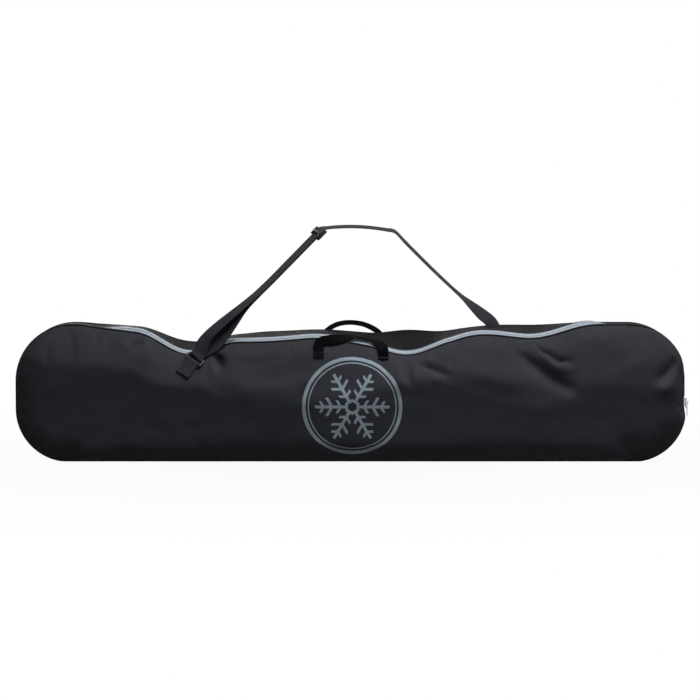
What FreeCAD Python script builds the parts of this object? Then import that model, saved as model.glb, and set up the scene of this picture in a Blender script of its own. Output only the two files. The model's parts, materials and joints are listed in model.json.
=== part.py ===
import FreeCAD, Part
import math
import os

import Sketcher

# Snowboard bag: two domed fabric panels, a gusset with a zip along its front edge, two webbing handles
# and a shoulder strap. X runs along the bag, -Y is its front, +Z is up. The origin is the centre of the
# base. Millimetres and degrees.

Vector = FreeCAD.Vector
X_AXIS = Vector(1, 0, 0)
Y_AXIS = Vector(0, 1, 0)
Z_AXIS = Vector(0, 0, 1)
FRONT = -1
BACK = 1

SIZES = [
    # the sewn shell
    ("bag_length", 1600),
    ("bag_height", 328),
    ("gusset_width", 96),
    ("top_corner_radius", 135),
    ("bottom_corner_radius", 126),
    ("fabric_thickness", 2),
    ("panel_bulge", 24),
    ("panel_flat_height", 108),
    ("piping_width", 4),
    ("piping_proud", 2.5),
    ("binding_depth", 8),
    ("binding_thickness", 1),
    ("seam_clearance", 0.3),
    # dips of the top edge: place, half length, depth at the front seam and at the rear seam
    ("strap_dip_x", -390),
    ("strap_dip_reach", 124),
    ("strap_dip_front", 37.5),
    ("strap_dip_rear", 20),
    ("left_sag_x", -252),
    ("left_sag_reach", 487),
    ("left_sag_front", 42),
    ("left_sag_rear", 23.5),
    ("handle_dip_x", 147),
    ("handle_dip_reach", 264),
    ("handle_dip_front", 56),
    ("handle_dip_rear", 27),
    ("zip_dip_x", 136),
    ("zip_dip_reach", 97),
    ("zip_dip_front", 13),
    ("zip_dip_rear", -10),
    ("right_dip_x", 426),
    ("right_dip_reach", 165),
    ("right_dip_front", 33),
    ("right_dip_rear", 7),
    # the zip
    ("zip_tape_width", 12),
    ("coil_width", 3),
    ("coil_gap", 2),
    ("coil_proud", 1.2),
    ("stop_height", 5),
    ("stop_width", 10),
    ("stop_thickness", 1.5),
    ("slider_length", 22),
    ("slider_width", 14),
    ("slider_plate", 2),
    ("slider_neck", 1.2),
    ("slider_clearance", 0.4),
    ("bridge_length", 13),
    ("bridge_width", 3),
    ("bridge_bar", 1.4),
    ("bridge_post", 2.2),
    ("puller_length", 34),
    ("puller_width", 9),
    ("puller_thickness", 1.6),
    ("puller_rail", 1.8),
    ("puller_window", 9),
    ("puller_side_play", 0.7),
    ("puller_slot_width", 4.4),
    ("puller_slot_length", 5),
    ("inner_plate_inset", 1),
    # the opening front
    ("fold_left_x", 118),
    ("fold_left_drop", 14),
    ("fold_right_height", 162),
    ("fold_gap", 0.4),
    ("fold_axis_clearance", 1),
    # handles
    ("handle_spacing", 154),
    ("handle_width", 25),
    ("handle_thickness", 3),
    ("handle_root_drop", 32),
    ("handle_patch_length", 22),
    ("handle_foot_gap", 1.2),
    ("front_handle_right_rise", 16),
    ("patch_lift", 0.7),
    ("front_handle_lift", 9),
    ("front_handle_back", 46),
    ("front_handle_slope", 0.2),
    ("front_handle_rise", 4),
    ("front_handle_first_turn", 0.35),
    ("rear_handle_lift", 28),
    ("rear_handle_lean", 6),
    ("rear_handle_twist", 25),
    ("rear_handle_fullness", 0.65),
    # shoulder strap
    ("strap_width", 35),
    ("strap_thickness", 2),
    ("strap_layer_gap", 1),
    ("strap_fan", 8),
    ("strap_fan_length", 190),
    ("strap_root_length", 60),
    ("strap_tilt", 17),
    ("strap_top_left_x", -76),
    ("strap_top_left_height", 550),
    ("strap_top_right_x", 106),
    ("strap_top_right_height", 546),
    ("strap_crest", 14),
    ("strap_crest_fullness", 0.8),
    ("strap_fall_tilt", 13.6),
    ("strap_fall_turn", 150),
    ("strap_end_x", 352),
    ("strap_end_drop", 26),
    ("strap_end_slope", 62),
    ("strap_patch_length", 34),
    ("strap_seam_clearance", 8),
    ("strap_hinge_distance", 32),
    ("strap_hinge_gap", 0.4),
    # its ring, tab and adjuster
    ("ring_x", -372),
    ("ring_drop", 14),
    ("ring_slope", 38),
    ("ring_bar", 5),
    ("ring_thickness", 4),
    ("ring_window", 9),
    ("ring_corner_radius", 4),
    ("ring_clearance", 0.4),
    ("ring_lift", 0.9),
    ("webbing_side_clearance", 1.2),
    ("tab_length", 42),
    ("tab_lift", 4.2),
    ("adjuster_length", 30),
    ("adjuster_bar", 5),
    ("adjuster_plate", 2.4),
    ("adjuster_clearance", 0.4),
    ("adjuster_from_top", 18),
]

doc = FreeCAD.newDocument("snowboard_bag")
sheet = doc.addObject("Spreadsheet::Sheet", "sizes")
for row, (alias, value) in enumerate(SIZES, start=1):
    sheet.set("A%d" % row, alias)
    sheet.set("B%d" % row, str(value))
    sheet.setAlias("B%d" % row, alias)
doc.recompute()


def size(alias):
    return float(getattr(sheet, alias))


LENGTH = size("bag_length")
HEIGHT = size("bag_height")
HALF_DEPTH = size("gusset_width") / 2
WALL = size("fabric_thickness")
TOP_RADIUS = size("top_corner_radius")
BASE_RADIUS = size("bottom_corner_radius")
DOME_REACH = (HEIGHT - size("panel_flat_height")) / 2
ZIP_Y = -HALF_DEPTH + size("zip_tape_width") + size("coil_width") + size("coil_gap") / 2
DIPS = [[size("%s_%s" % (dip, part)) for part in ("x", "reach", "front", "rear")]
        for dip in ("strap_dip", "left_sag", "handle_dip", "zip_dip", "right_dip")]


# ---------------------------------------------------------------- outline of the bag

def bell(distance, reach):
    """One smooth bump: 1 at its centre and 0 from its reach outwards."""
    share = min(abs(distance) / reach, 1)
    return math.cos(math.pi / 2 * share) ** 2


def top_height(x, y):
    """Height of the bag's top edge at x, in the upright plane at depth y."""
    rear_share = (y + HALF_DEPTH) / (2 * HALF_DEPTH)
    height = HEIGHT
    for centre, reach, front, rear in DIPS:
        height -= (front + (rear - front) * rear_share) * bell(x - centre, reach)
    return height


def arc(centre, radius, start, end, y):
    """Arc in the plane at depth y, between two angles in degrees."""
    points = []
    for angle in (start, (start + end) / 2, end):
        turn = math.radians(angle)
        points.append(Vector(centre[0] + radius * math.cos(turn), y, centre[1] + radius * math.sin(turn)))
    return Part.Arc(*points).toShape()


def line(start, end, y):
    return Part.LineSegment(Vector(start[0], y, start[1]), Vector(end[0], y, end[1])).toShape()


def corner_centre(inset, corner, at_top):
    """Centre of the right-hand corner arc of the outline moved in by inset."""
    height = HEIGHT - inset - corner if at_top else inset + corner
    return LENGTH / 2 - inset - corner, height


def top_spline(inset, y, half_span, seam_y):
    """The sagging top edge between the two corner arcs, with the sag that the bag has at seam_y."""
    stations = 24
    points = []
    for index in range(stations + 1):
        x = -half_span + 2 * half_span * index / stations
        at_end = index in (0, stations)
        height = HEIGHT if at_end else top_height(x, seam_y)
        points.append(Vector(x, y, height - inset))
    spline = Part.BSplineCurve()
    spline.interpolate(Points=points, Parameters=[point.x for point in points],
                       InitialTangent=X_AXIS, FinalTangent=X_AXIS, Scale=False)
    return spline.toShape()


def upper_edges(inset, y, top_corner, start_height, seam_y):
    """From the left side at start_height, up and over the top, down to the right side."""
    side = LENGTH / 2 - inset
    centre_x, centre_z = corner_centre(inset, top_corner, True)
    return [
        line((-side, start_height), (-side, centre_z), y),
        arc((-centre_x, centre_z), top_corner, 180, 90, y),
        top_spline(inset, y, centre_x, seam_y),
        arc((centre_x, centre_z), top_corner, 90, 0, y),
        line((side, centre_z), (side, start_height), y),
    ]


def lower_edges(inset, y, base_corner):
    """From the right side, down and along the base, up to the left side."""
    centre_x, centre_z = corner_centre(inset, base_corner, False)
    return [
        arc((centre_x, centre_z), base_corner, 0, -90, y),
        line((centre_x, inset), (-centre_x, inset), y),
        arc((-centre_x, centre_z), base_corner, 270, 180, y),
    ]


def closed_outline(inset, y, top_corner, base_corner, seam_y):
    side_start = corner_centre(inset, base_corner, False)[1]
    upper = upper_edges(inset, y, top_corner, side_start, seam_y)
    return Part.Wire(upper + lower_edges(inset, y, base_corner))


def upper_band_edges(inset, y):
    """The stretch that the zip follows: all but the base and its corners."""
    return upper_edges(inset, y, TOP_RADIUS - inset, BASE_RADIUS, y)


def lower_band_edges(inset, y):
    return lower_edges(inset, y, BASE_RADIUS - inset)


def ring_section(edges_at, outer_inset, inner_inset, y):
    """Closed section of a band: out along one offset of the outline and back along the other."""
    outer = edges_at(outer_inset, y)
    inner = edges_at(inner_inset, y)
    first = Part.LineSegment(inner[0].Vertexes[0].Point, outer[0].Vertexes[0].Point).toShape()
    last = Part.LineSegment(outer[-1].Vertexes[-1].Point, inner[-1].Vertexes[-1].Point).toShape()
    return Part.Wire(Part.__sortEdges__([first] + outer + [last] + inner))


def band(edges_at, y_from, y_to, outer_inset, inner_inset):
    """Strip of the gusset between two depths, following the outline."""
    sections = [ring_section(edges_at, outer_inset, inner_inset, y) for y in (y_from, y_to)]
    return Part.makeLoft(sections, True, True)


# ---------------------------------------------------------------- domed panels

def dome_height(drop):
    """How far a panel stands out at a distance in from its seam."""
    share = min(drop / DOME_REACH, 1)
    return size("panel_bulge") * math.sin(math.acos(1 - share))


def dome_solid(side, inset, lower_by):
    """Solid under a panel's outer face, moved in by inset and lowered by lower_by."""
    rows = 6
    smallest_corner = 0.14
    sections = []
    for row in range(rows + 1):
        turn = math.radians(90 * row / rows)
        drop = DOME_REACH * (1 - math.cos(turn))
        shrink = 1 - (1 - smallest_corner) * (1 - math.cos(turn))
        y = side * (HALF_DEPTH + size("panel_bulge") * math.sin(turn) - lower_by)
        top_corner = (TOP_RADIUS - inset) * shrink
        base_corner = (BASE_RADIUS - inset) * shrink
        sections.append(closed_outline(drop + inset, y, top_corner, base_corner, side * HALF_DEPTH))
    return Part.makeLoft(sections, True, True)


def panel_shell(side):
    """Domed fabric panel, open towards the inside of the bag."""
    return dome_solid(side, 0, 0).cut(dome_solid(side, WALL, WALL))


# ---------------------------------------------------------------- the fold of the opening front

def fold_points():
    left_x = size("fold_left_x")
    left = Vector(left_x, 0, top_height(left_x, -HALF_DEPTH) - size("fold_left_drop"))
    right = Vector(LENGTH / 2, 0, size("fold_right_height"))
    return left, right


def fold_block(gap):
    """Space that holds the opening part of the front, drawn back from the fold by gap."""
    left, right = fold_points()
    margin = 60
    slope = (right.z - left.z) / (right.x - left.x)
    corners = [
        Vector(left.x + gap, 0, left.z + gap),
        Vector(right.x + margin, 0, right.z + slope * margin + gap),
        Vector(right.x + margin, 0, HEIGHT + margin),
        Vector(left.x + gap, 0, HEIGHT + margin),
    ]
    face = Part.Face(Part.makePolygon(corners + corners[:1]))
    front_y = -HALF_DEPTH - size("panel_bulge") - margin
    face.translate(Vector(0, front_y, 0))
    return face.extrude(Vector(0, ZIP_Y - front_y, 0))


def kept_part(shape):
    return shape.cut(fold_block(0))


def opening_part(shape):
    return shape.common(fold_block(size("fold_gap")))


# ---------------------------------------------------------------- webbing

def webbing_section(centre, travel, across, width, thickness):
    across = (across - travel * across.dot(travel)).normalize()
    facing = travel.cross(across).normalize()
    corners = []
    for along, out in ((-1, -1), (1, -1), (1, 1), (-1, 1)):
        corners.append(centre + across * (along * width / 2) + facing * (out * thickness / 2))
    return Part.makePolygon(corners + corners[:1])


def travel_at(points, index):
    before = points[max(index - 1, 0)]
    after = points[min(index + 1, len(points) - 1)]
    return (after - before).normalize()


def webbing(stations, width, thickness):
    """Flat webbing through stations, each a centre point and the direction across the webbing."""
    points = [station[0] for station in stations]
    sections = []
    for index, (centre, across) in enumerate(stations):
        sections.append(webbing_section(centre, travel_at(points, index), across, width, thickness))
    return Part.makeLoft(sections, True, True)


def blend(start, end, share):
    return start * (1 - share) + end * share


def smooth(share):
    share = max(0, min(1, share))
    return share * share * (3 - 2 * share)


def panel_surface(x, z, side):
    """Depth of a panel's outer face."""
    return side * (HALF_DEPTH + dome_height(max(top_height(x, side * HALF_DEPTH) - z, 0)))


def panel_normal(x, z, side):
    """Outward direction of a panel, levelled over a piece the size of the ring."""
    reach = 15
    sideways = (panel_surface(x + reach, z, side) - panel_surface(x - reach, z, side)) / (2 * reach)
    upward = (panel_surface(x, z + reach, side) - panel_surface(x, z - reach, side)) / (2 * reach)
    return Vector(-sideways, 1, -upward).normalize() * side


# ---------------------------------------------------------------- features of the document

def add_shape(label, shape):
    """Sub-part whose shape is worked out above."""
    feature = doc.addObject("Part::Feature", label)
    feature.Label = label
    feature.Shape = shape.removeSplitter() if len(shape.Solids) == 1 else shape
    feature.Placement = FreeCAD.Placement()
    return feature


def add_body(label):
    body = doc.addObject("PartDesign::Body", label)
    body.Label = label
    return body


def add_sketch(body, role, name, height=None):
    """Sketch on one of the body's own origin planes, raised along its normal by a formula."""
    planes = [feature for feature in body.Origin.OriginFeatures if feature.Role == role]
    sketch = body.newObject("Sketcher::SketchObject", name)
    sketch.AttachmentSupport = [(planes[0], "")]
    sketch.MapMode = "FlatFace"
    if height is not None:
        sketch.setExpression("AttachmentOffset.Base.z", height)
    return sketch


def add_rectangle(sketch, name, width, height, centre_x="0", centre_y="0"):
    """Rectangle whose sides and centre follow formulas in the sheet's values."""
    corners = [Vector(-1, -1, 0), Vector(1, -1, 0), Vector(1, 1, 0), Vector(-1, 1, 0)]
    first = sketch.GeometryCount
    for index in range(4):
        sketch.addGeometry(Part.LineSegment(corners[index], corners[(index + 1) % 4]), False)
    for index in range(4):
        sketch.addConstraint(Sketcher.Constraint("Coincident", first + index, 2, first + (index + 1) % 4, 1))
    for index in (0, 2):
        sketch.addConstraint(Sketcher.Constraint("Horizontal", first + index))
    for index in (1, 3):
        sketch.addConstraint(Sketcher.Constraint("Vertical", first + index))
    formulas = {
        "left": ("DistanceX", 1, "(%s) - (%s) / 2" % (centre_x, width)),
        "right": ("DistanceX", 2, "(%s) + (%s) / 2" % (centre_x, width)),
    }
    for key, (kind, vertex, formula) in formulas.items():
        constraint = Sketcher.Constraint(kind, -1, 1, first, vertex, 1.0 if key == "right" else -1.0)
        sketch.renameConstraint(sketch.addConstraint(constraint), "%s_%s" % (name, key))
        sketch.setExpression("Constraints.%s_%s" % (name, key), formula)
    for key, line_index, sign in (("low", 0, "-"), ("high", 2, "+")):
        distance = 1.0 if key == "high" else -1.0
        constraint = Sketcher.Constraint("DistanceY", -1, 1, first + line_index, 1, distance)
        sketch.renameConstraint(sketch.addConstraint(constraint), "%s_%s" % (name, key))
        sketch.setExpression("Constraints.%s_%s" % (name, key),
                             "(%s) %s (%s) / 2" % (centre_y, sign, height))
    return first


def add_pad(body, sketch, name, length, midplane=False):
    pad = body.newObject("PartDesign::Pad", name)
    pad.Profile = sketch
    pad.Midplane = midplane
    pad.setExpression("Length", length)
    sketch.Visibility = False
    return pad


def place(body, origin, x_direction, z_direction):
    """Put a body's own X and Z along two directions of the bag, with its origin at a point."""
    z_unit = Vector(z_direction).normalize()
    x_unit = (x_direction - z_unit * x_direction.dot(z_unit)).normalize()
    y_unit = z_unit.cross(x_unit)
    matrix = FreeCAD.Matrix(x_unit.x, y_unit.x, z_unit.x, origin.x,
                            x_unit.y, y_unit.y, z_unit.y, origin.y,
                            x_unit.z, y_unit.z, z_unit.z, origin.z,
                            0, 0, 0, 1)
    body.Placement = FreeCAD.Placement(matrix)


# ---------------------------------------------------------------- the sewn shell

def make_shell():
    front = panel_shell(FRONT)
    add_shape("front_panel", kept_part(front))
    add_shape("front_flap", opening_part(front))
    add_shape("back_panel", panel_shell(BACK))
    add_shape("bottom_gusset", band(lower_band_edges, -HALF_DEPTH, HALF_DEPTH, 0, WALL))
    rear_tape_end = ZIP_Y + size("coil_gap") / 2 + size("coil_width") + size("zip_tape_width")
    add_shape("top_gusset", band(upper_band_edges, rear_tape_end, HALF_DEPTH, 0, WALL))
    half = size("piping_width") / 2
    root = -size("seam_clearance")
    proud = -size("piping_proud")
    front_piping = band(upper_band_edges, -HALF_DEPTH - half, -HALF_DEPTH + half, proud, root)
    add_shape("front_piping", kept_part(front_piping))
    add_shape("flap_piping", opening_part(front_piping))
    add_shape("rear_piping", band(upper_band_edges, HALF_DEPTH - half, HALF_DEPTH + half, proud, root))
    outer = WALL + size("seam_clearance")
    inner = outer + size("binding_depth")
    near = HALF_DEPTH - size("seam_clearance")
    far = near - size("binding_thickness")
    front_binding = band(upper_band_edges, -near, -far, outer, inner)
    add_shape("front_seam_binding", kept_part(front_binding))
    add_shape("flap_seam_binding", opening_part(front_binding))
    add_shape("rear_seam_binding", band(upper_band_edges, far, near, outer, inner))


# ---------------------------------------------------------------- the zip

def make_zip():
    half_gap = size("coil_gap") / 2
    coil = size("coil_width")
    tape = size("zip_tape_width")
    proud = size("coil_proud")
    front_tape = band(upper_band_edges, -HALF_DEPTH, ZIP_Y - half_gap - coil, 0, WALL)
    front_coil = band(upper_band_edges, ZIP_Y - half_gap - coil, ZIP_Y - half_gap, -proud, WALL)
    rear_start = ZIP_Y + half_gap
    add_shape("front_zip_tape", kept_part(front_tape))
    add_shape("flap_zip_tape", opening_part(front_tape))
    add_shape("front_zip_coil", kept_part(front_coil))
    add_shape("flap_zip_coil", opening_part(front_coil))
    add_shape("rear_zip_coil", band(upper_band_edges, rear_start, rear_start + coil, -proud, WALL))
    add_shape("rear_zip_tape", band(upper_band_edges, rear_start + coil, rear_start + coil + tape, 0, WALL))


def make_stops():
    """Folded stops over the two ends of the coil, as one node of two solids."""
    inner = LENGTH / 2 + size("coil_proud")
    stops = []
    for side in (-1, 1):
        stop = Part.makeBox(size("stop_thickness"), size("stop_width"), size("stop_height"))
        corner_x = inner if side > 0 else -inner - size("stop_thickness")
        stop.translate(Vector(corner_x, ZIP_Y - size("stop_width") / 2, BASE_RADIUS))
        stops.append(stop)
    add_shape("zip_end_stops", Part.makeCompound(stops))


def slider_height():
    return BASE_RADIUS + size("stop_height") + size("seam_clearance") + size("slider_length") / 2


def make_slider():
    """Slider: outer plate with lips over the coil, a thin neck between the coils, an inner plate."""
    body = add_body("zip_slider")
    coil_edge = "sizes.coil_gap / 2 + sizes.coil_width + sizes.slider_clearance"
    plate_low = "sizes.coil_proud + sizes.slider_clearance"
    plate = add_sketch(body, "YZ_Plane", "plate_outline", plate_low)
    add_rectangle(plate, "plate", "sizes.slider_width", "sizes.slider_length")
    add_pad(body, plate, "plate", "sizes.slider_plate")
    lips = add_sketch(body, "YZ_Plane", "lip_outline", "sizes.slider_clearance")
    lip_width = "(sizes.slider_width / 2 - (%s))" % coil_edge
    for name, sign in (("front_lip", "-"), ("rear_lip", "+")):
        add_rectangle(lips, name, lip_width, "sizes.slider_length",
                      "%s (sizes.slider_width / 2 - %s / 2)" % ("0 " + sign, lip_width))
    add_pad(body, lips, "lips", "sizes.coil_proud")
    neck = add_sketch(body, "YZ_Plane", "neck_outline",
                      "0 - sizes.fabric_thickness - sizes.slider_clearance - sizes.slider_plate / 2")
    add_rectangle(neck, "neck", "sizes.slider_neck", "sizes.slider_length")
    add_pad(body, neck, "neck", "sizes.fabric_thickness + sizes.slider_plate / 2 + 2 * sizes.slider_clearance"
                                " + sizes.coil_proud")
    inner = add_sketch(body, "YZ_Plane", "inner_outline",
                       "0 - sizes.fabric_thickness - sizes.slider_clearance - sizes.slider_plate")
    add_rectangle(inner, "inner", "sizes.slider_width - 2 * sizes.inner_plate_inset",
                  "sizes.slider_length")
    add_pad(body, inner, "inner_plate", "sizes.slider_plate")
    top = "sizes.coil_proud + sizes.slider_clearance + sizes.slider_plate"
    window = "(sizes.puller_rail + 2 * sizes.slider_clearance)"
    posts = add_sketch(body, "YZ_Plane", "post_outline", top)
    for name, sign in (("low_post", "-"), ("high_post", "+")):
        add_rectangle(posts, name, "sizes.bridge_width", "sizes.bridge_post", "0",
                      "0 %s (sizes.bridge_length / 2 - sizes.bridge_post / 2)" % sign)
    add_pad(body, posts, "posts", window)
    bridge = add_sketch(body, "YZ_Plane", "bridge_outline", "%s + %s" % (top, window))
    add_rectangle(bridge, "bridge", "sizes.bridge_width", "sizes.bridge_length")
    body.Tip = add_pad(body, bridge, "bridge", "sizes.bridge_bar")
    body.Placement = FreeCAD.Placement(Vector(LENGTH / 2, ZIP_Y, slider_height()), FreeCAD.Rotation())


def puller_axis():
    """Centre of the puller's cross bar, under the slider's bridge."""
    out = size("coil_proud") + 2 * size("slider_clearance") + size("slider_plate") + size("puller_rail") / 2
    return Vector(LENGTH / 2 + out, ZIP_Y, slider_height())


def make_puller():
    """Puller: a flat tab whose frame straddles the bridge, with a round cross bar under it."""
    body = add_body("zip_puller")
    frame = add_sketch(body, "YZ_Plane", "frame_outline", "0 - sizes.puller_thickness / 2")
    add_rectangle(frame, "outer", "sizes.puller_width", "sizes.puller_length", "0",
                  "sizes.puller_rail / 2 - sizes.puller_length / 2")
    window_height = "sizes.puller_window"
    add_rectangle(frame, "window", "sizes.bridge_width + 2 * sizes.puller_side_play", window_height, "0",
                  "0 - sizes.puller_rail / 2 - %s / 2" % window_height)
    add_rectangle(frame, "slot", "sizes.puller_slot_width", "sizes.puller_slot_length", "0",
                  "3 * sizes.puller_rail / 2 - sizes.puller_length + sizes.puller_slot_length / 2")
    body.Tip = add_pad(body, frame, "frame", "sizes.puller_thickness")
    body.Placement = FreeCAD.Placement(puller_axis(), FreeCAD.Rotation())


# ---------------------------------------------------------------- handles

def handle_point(x, drop, side):
    """Middle of the webbing on a panel, a distance below the top seam."""
    z = top_height(x, side * HALF_DEPTH) - drop
    lift = size("handle_thickness") / 2 + size("patch_lift")
    return Vector(x, panel_surface(x, z, side), z) + panel_normal(x, z, side) * lift


def handle_drop(x, side):
    """Distance from the top seam down to a foot; the seam dips beside the front handle's right foot."""
    rise = size("front_handle_right_rise") if side == FRONT and x > 0 else 0
    return size("handle_root_drop") - rise


def handle_patch(x, side):
    """Sewn end of a handle, flat on the panel."""
    stations = []
    for share in (0, 0.5, 1):
        drop = handle_drop(x, side) + size("handle_patch_length") * (1 - share)
        point = handle_point(x, drop, side)
        across = Z_AXIS.cross(panel_normal(point.x, point.z, side))
        stations.append((point, across))
    return webbing(stations, size("handle_width"), size("handle_thickness"))


def make_patches():
    half = size("handle_spacing") / 2
    for label, side in (("front_handle_patches", FRONT), ("rear_handle_patches", BACK)):
        add_shape(label, Part.makeCompound([handle_patch(x, side) for x in (-half, half)]))


def handle_feet(side):
    """Middle of the webbing where the free part of a handle starts, left and right."""
    half = size("handle_spacing") / 2
    return [handle_point(x, handle_drop(x, side), side) + Z_AXIS * size("handle_foot_gap")
            for x in (-half, half)]


def handle_hinge(side):
    """Line that a handle swings about: along the outer faces of its two feet."""
    out = Y_AXIS * (side * size("handle_thickness") / 2)
    left, right = [foot + out for foot in handle_feet(side)]
    return (left + right) * 0.5, (right - left).normalize()


def front_handle_stations():
    """Up past the seam on each side, then back over the gusset to a low crown."""
    feet = handle_feet(FRONT)
    crown_y = -HALF_DEPTH + size("front_handle_back")
    crown = Vector(0, crown_y, top_height(0, crown_y) + size("front_handle_lift"))
    top_facing = Vector(0, -size("front_handle_slope"), 1).normalize()
    rising = 3
    turning = 8
    halves = []
    for foot in feet:
        over = Vector(foot.x, foot.y, top_height(foot.x, -HALF_DEPTH) + size("front_handle_lift"))
        half = [(blend(foot, over, share / rising), Y_AXIS * FRONT) for share in range(rising)]
        for step in range(turning + 1):
            turn = math.radians(90 * step / turning)
            back = math.sin(turn)
            point = Vector(crown.x + (over.x - crown.x) * math.cos(turn),
                           over.y + (crown.y - over.y) * back,
                           over.z + (crown.z - over.z) * back ** 2)
            point.z += size("front_handle_rise") * math.sin(2 * turn)
            turned = smooth(size("front_handle_first_turn") + step / rising)
            facing = blend(Y_AXIS * FRONT, top_facing, turned)
            half.append((point, facing))
        halves.append(half)
    return halves[0] + halves[1][-2::-1]


def rear_handle_stations():
    """Upright arch; the webbing turns from facing back at its feet to facing up at the crown."""
    feet = handle_feet(BACK)
    crown_z = top_height(0, HALF_DEPTH) + size("rear_handle_lift")
    steps = 18
    stations = []
    for step in range(steps + 1):
        turn = math.pi * step / steps
        rise = math.sin(turn) ** size("rear_handle_fullness") if 0 < step < steps else 0
        foot = blend(feet[0], feet[1], step / steps)
        point = Vector(-size("handle_spacing") / 2 * math.cos(turn), foot.y - size("rear_handle_lean") * rise,
                       foot.z + (crown_z - foot.z) * rise)
        outward = Vector(-math.cos(turn), 0, math.sin(turn))
        roll = math.radians((90 - size("rear_handle_twist")) * smooth(rise))
        stations.append((point, Y_AXIS * math.cos(roll) + outward * math.sin(roll)))
    return stations


def make_handles():
    for label, route in (("front_handle", front_handle_stations()), ("rear_handle", rear_handle_stations())):
        points = [point for point, facing in route]
        stations = []
        for index, (point, facing) in enumerate(route):
            stations.append((point, travel_at(points, index).cross(facing)))
        add_shape(label, webbing(stations, size("handle_width"), size("handle_thickness")))


# ---------------------------------------------------------------- shoulder strap

def loop_radius():
    """Inner radius of a webbing loop round a bar of the ring."""
    return math.hypot(size("ring_bar"), size("ring_thickness")) / 2 + size("ring_clearance")


def ring_frame():
    """Centre of the ring, the direction along its bars, and the two directions square to that."""
    x = size("ring_x")
    z = top_height(x, -HALF_DEPTH) - size("ring_drop")
    outward = panel_normal(x, z, FRONT)
    slope = math.radians(size("ring_slope"))
    across = Vector(math.cos(slope), 0, -math.sin(slope))
    across = (across - outward * across.dot(outward)).normalize()
    lift = loop_radius() + size("strap_thickness") + size("ring_lift")
    centre = Vector(x, panel_surface(x, z, FRONT), z) + outward * lift
    return centre, across, outward.cross(across), outward


def ring_bar_centre(side):
    """Middle of the ring's upper bar (side 1) or lower bar (side -1)."""
    centre, across, upward, outward = ring_frame()
    return centre + upward * (side * (size("ring_window") + size("ring_bar")) / 2)


def rear_point(drop):
    """Point of the strap's sewn end on the back panel, a distance down from the rear seam."""
    slope = math.radians(size("strap_end_slope"))
    x = size("strap_end_x") + (drop - size("strap_end_drop")) / math.tan(slope)
    z = top_height(x, HALF_DEPTH) - drop
    lift = size("strap_thickness") / 2 + size("patch_lift")
    return Vector(x, panel_surface(x, z, BACK), z) + panel_normal(x, z, BACK) * lift


def strap_corners():
    """Left foot, top left, top right and right foot of the strap."""
    foot = ring_bar_centre(1)
    drop = size("strap_end_drop")
    seam = Vector(size("strap_end_x") - drop / math.tan(math.radians(size("strap_end_slope"))), 0, 0)
    seam.y = HALF_DEPTH + size("strap_seam_clearance") + size("strap_thickness")
    seam.z = top_height(seam.x, HALF_DEPTH) + size("strap_seam_clearance")
    corners = [foot]
    for side in ("left", "right"):
        x = size("strap_top_%s_x" % side)
        share = (x - foot.x) / (seam.x - foot.x)
        corners.append(Vector(x, blend(foot, seam, share).y, size("strap_top_%s_height" % side)))
    return corners + [seam]


def strap_across(travel, tilt):
    """Across the webbing: along the depth when tilt is 0, and square to the depth when it is 90."""
    outward = travel.cross(Y_AXIS).normalize()
    turn = math.radians(tilt)
    across = Y_AXIS * math.cos(turn) + outward * math.sin(turn)
    return (across - travel * across.dot(travel)).normalize()


def left_run():
    """Start, direction and length of the straight run from the ring to the top."""
    foot, top_left = strap_corners()[:2]
    return foot, (top_left - foot).normalize(), (top_left - foot).Length


def run_tilt(distance):
    return 90 + (size("strap_tilt") - 90) * smooth(distance / size("strap_fan_length"))


def run_station(distance, layer, fan_side):
    """Station on the left run; layer moves it off the middle, fan_side spreads the two layers."""
    foot, travel, length = left_run()
    ring_across = ring_frame()[1] * -1
    turned = smooth(distance / size("strap_root_length"))
    across = blend(ring_across, strap_across(travel, run_tilt(distance)), turned)
    across = (across - travel * across.dot(travel)).normalize()
    facing = travel.cross(across)
    share = min(distance / size("strap_fan_length"), 1)
    fan = size("strap_fan") * math.sin(math.pi * share) ** 2
    offset = layer * (size("strap_thickness") + size("strap_layer_gap")) / 2
    return foot + travel * distance + facing * offset + across * (fan_side * fan), across


def strap_hinge():
    """The line that the strap swings about, through a point near each of its ends."""
    foot, travel, length = left_run()
    top_right, seam = strap_corners()[2:]
    left = foot + travel * size("strap_hinge_distance")
    right = seam + (top_right - seam).normalize() * size("strap_seam_clearance")
    return left, right, (right - left).normalize()


def swing_block(gap, depth):
    """Space between the strap's two ends, grown by gap, from a depth below the swing line upwards."""
    left, right, axis = strap_hinge()
    upward = (Z_AXIS - axis * axis.z).normalize()
    middle = (left + right) * 0.5
    span = (right - left).Length + 2 * gap
    block = Part.makeBox(span, HEIGHT * 2, HEIGHT * 2 + depth)
    block.translate(Vector(-span / 2, -HEIGHT, -depth))
    turned = FreeCAD.Rotation(axis, upward.cross(axis), upward, "XZY")
    block.Placement = FreeCAD.Placement(middle, turned).multiply(block.Placement)
    return block


def swinging_part(shape):
    """What swings: the strap above its swing line."""
    return shape.common(swing_block(0, 0))


def sewn_part(shape, side):
    """What stays with the bag at the strap's left (side -1) or right (side 1) end."""
    pieces = shape.cut(swing_block(size("strap_hinge_gap"), HEIGHT)).Solids
    return max(pieces, key=lambda piece: side * piece.CenterOfMass.x)


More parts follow.
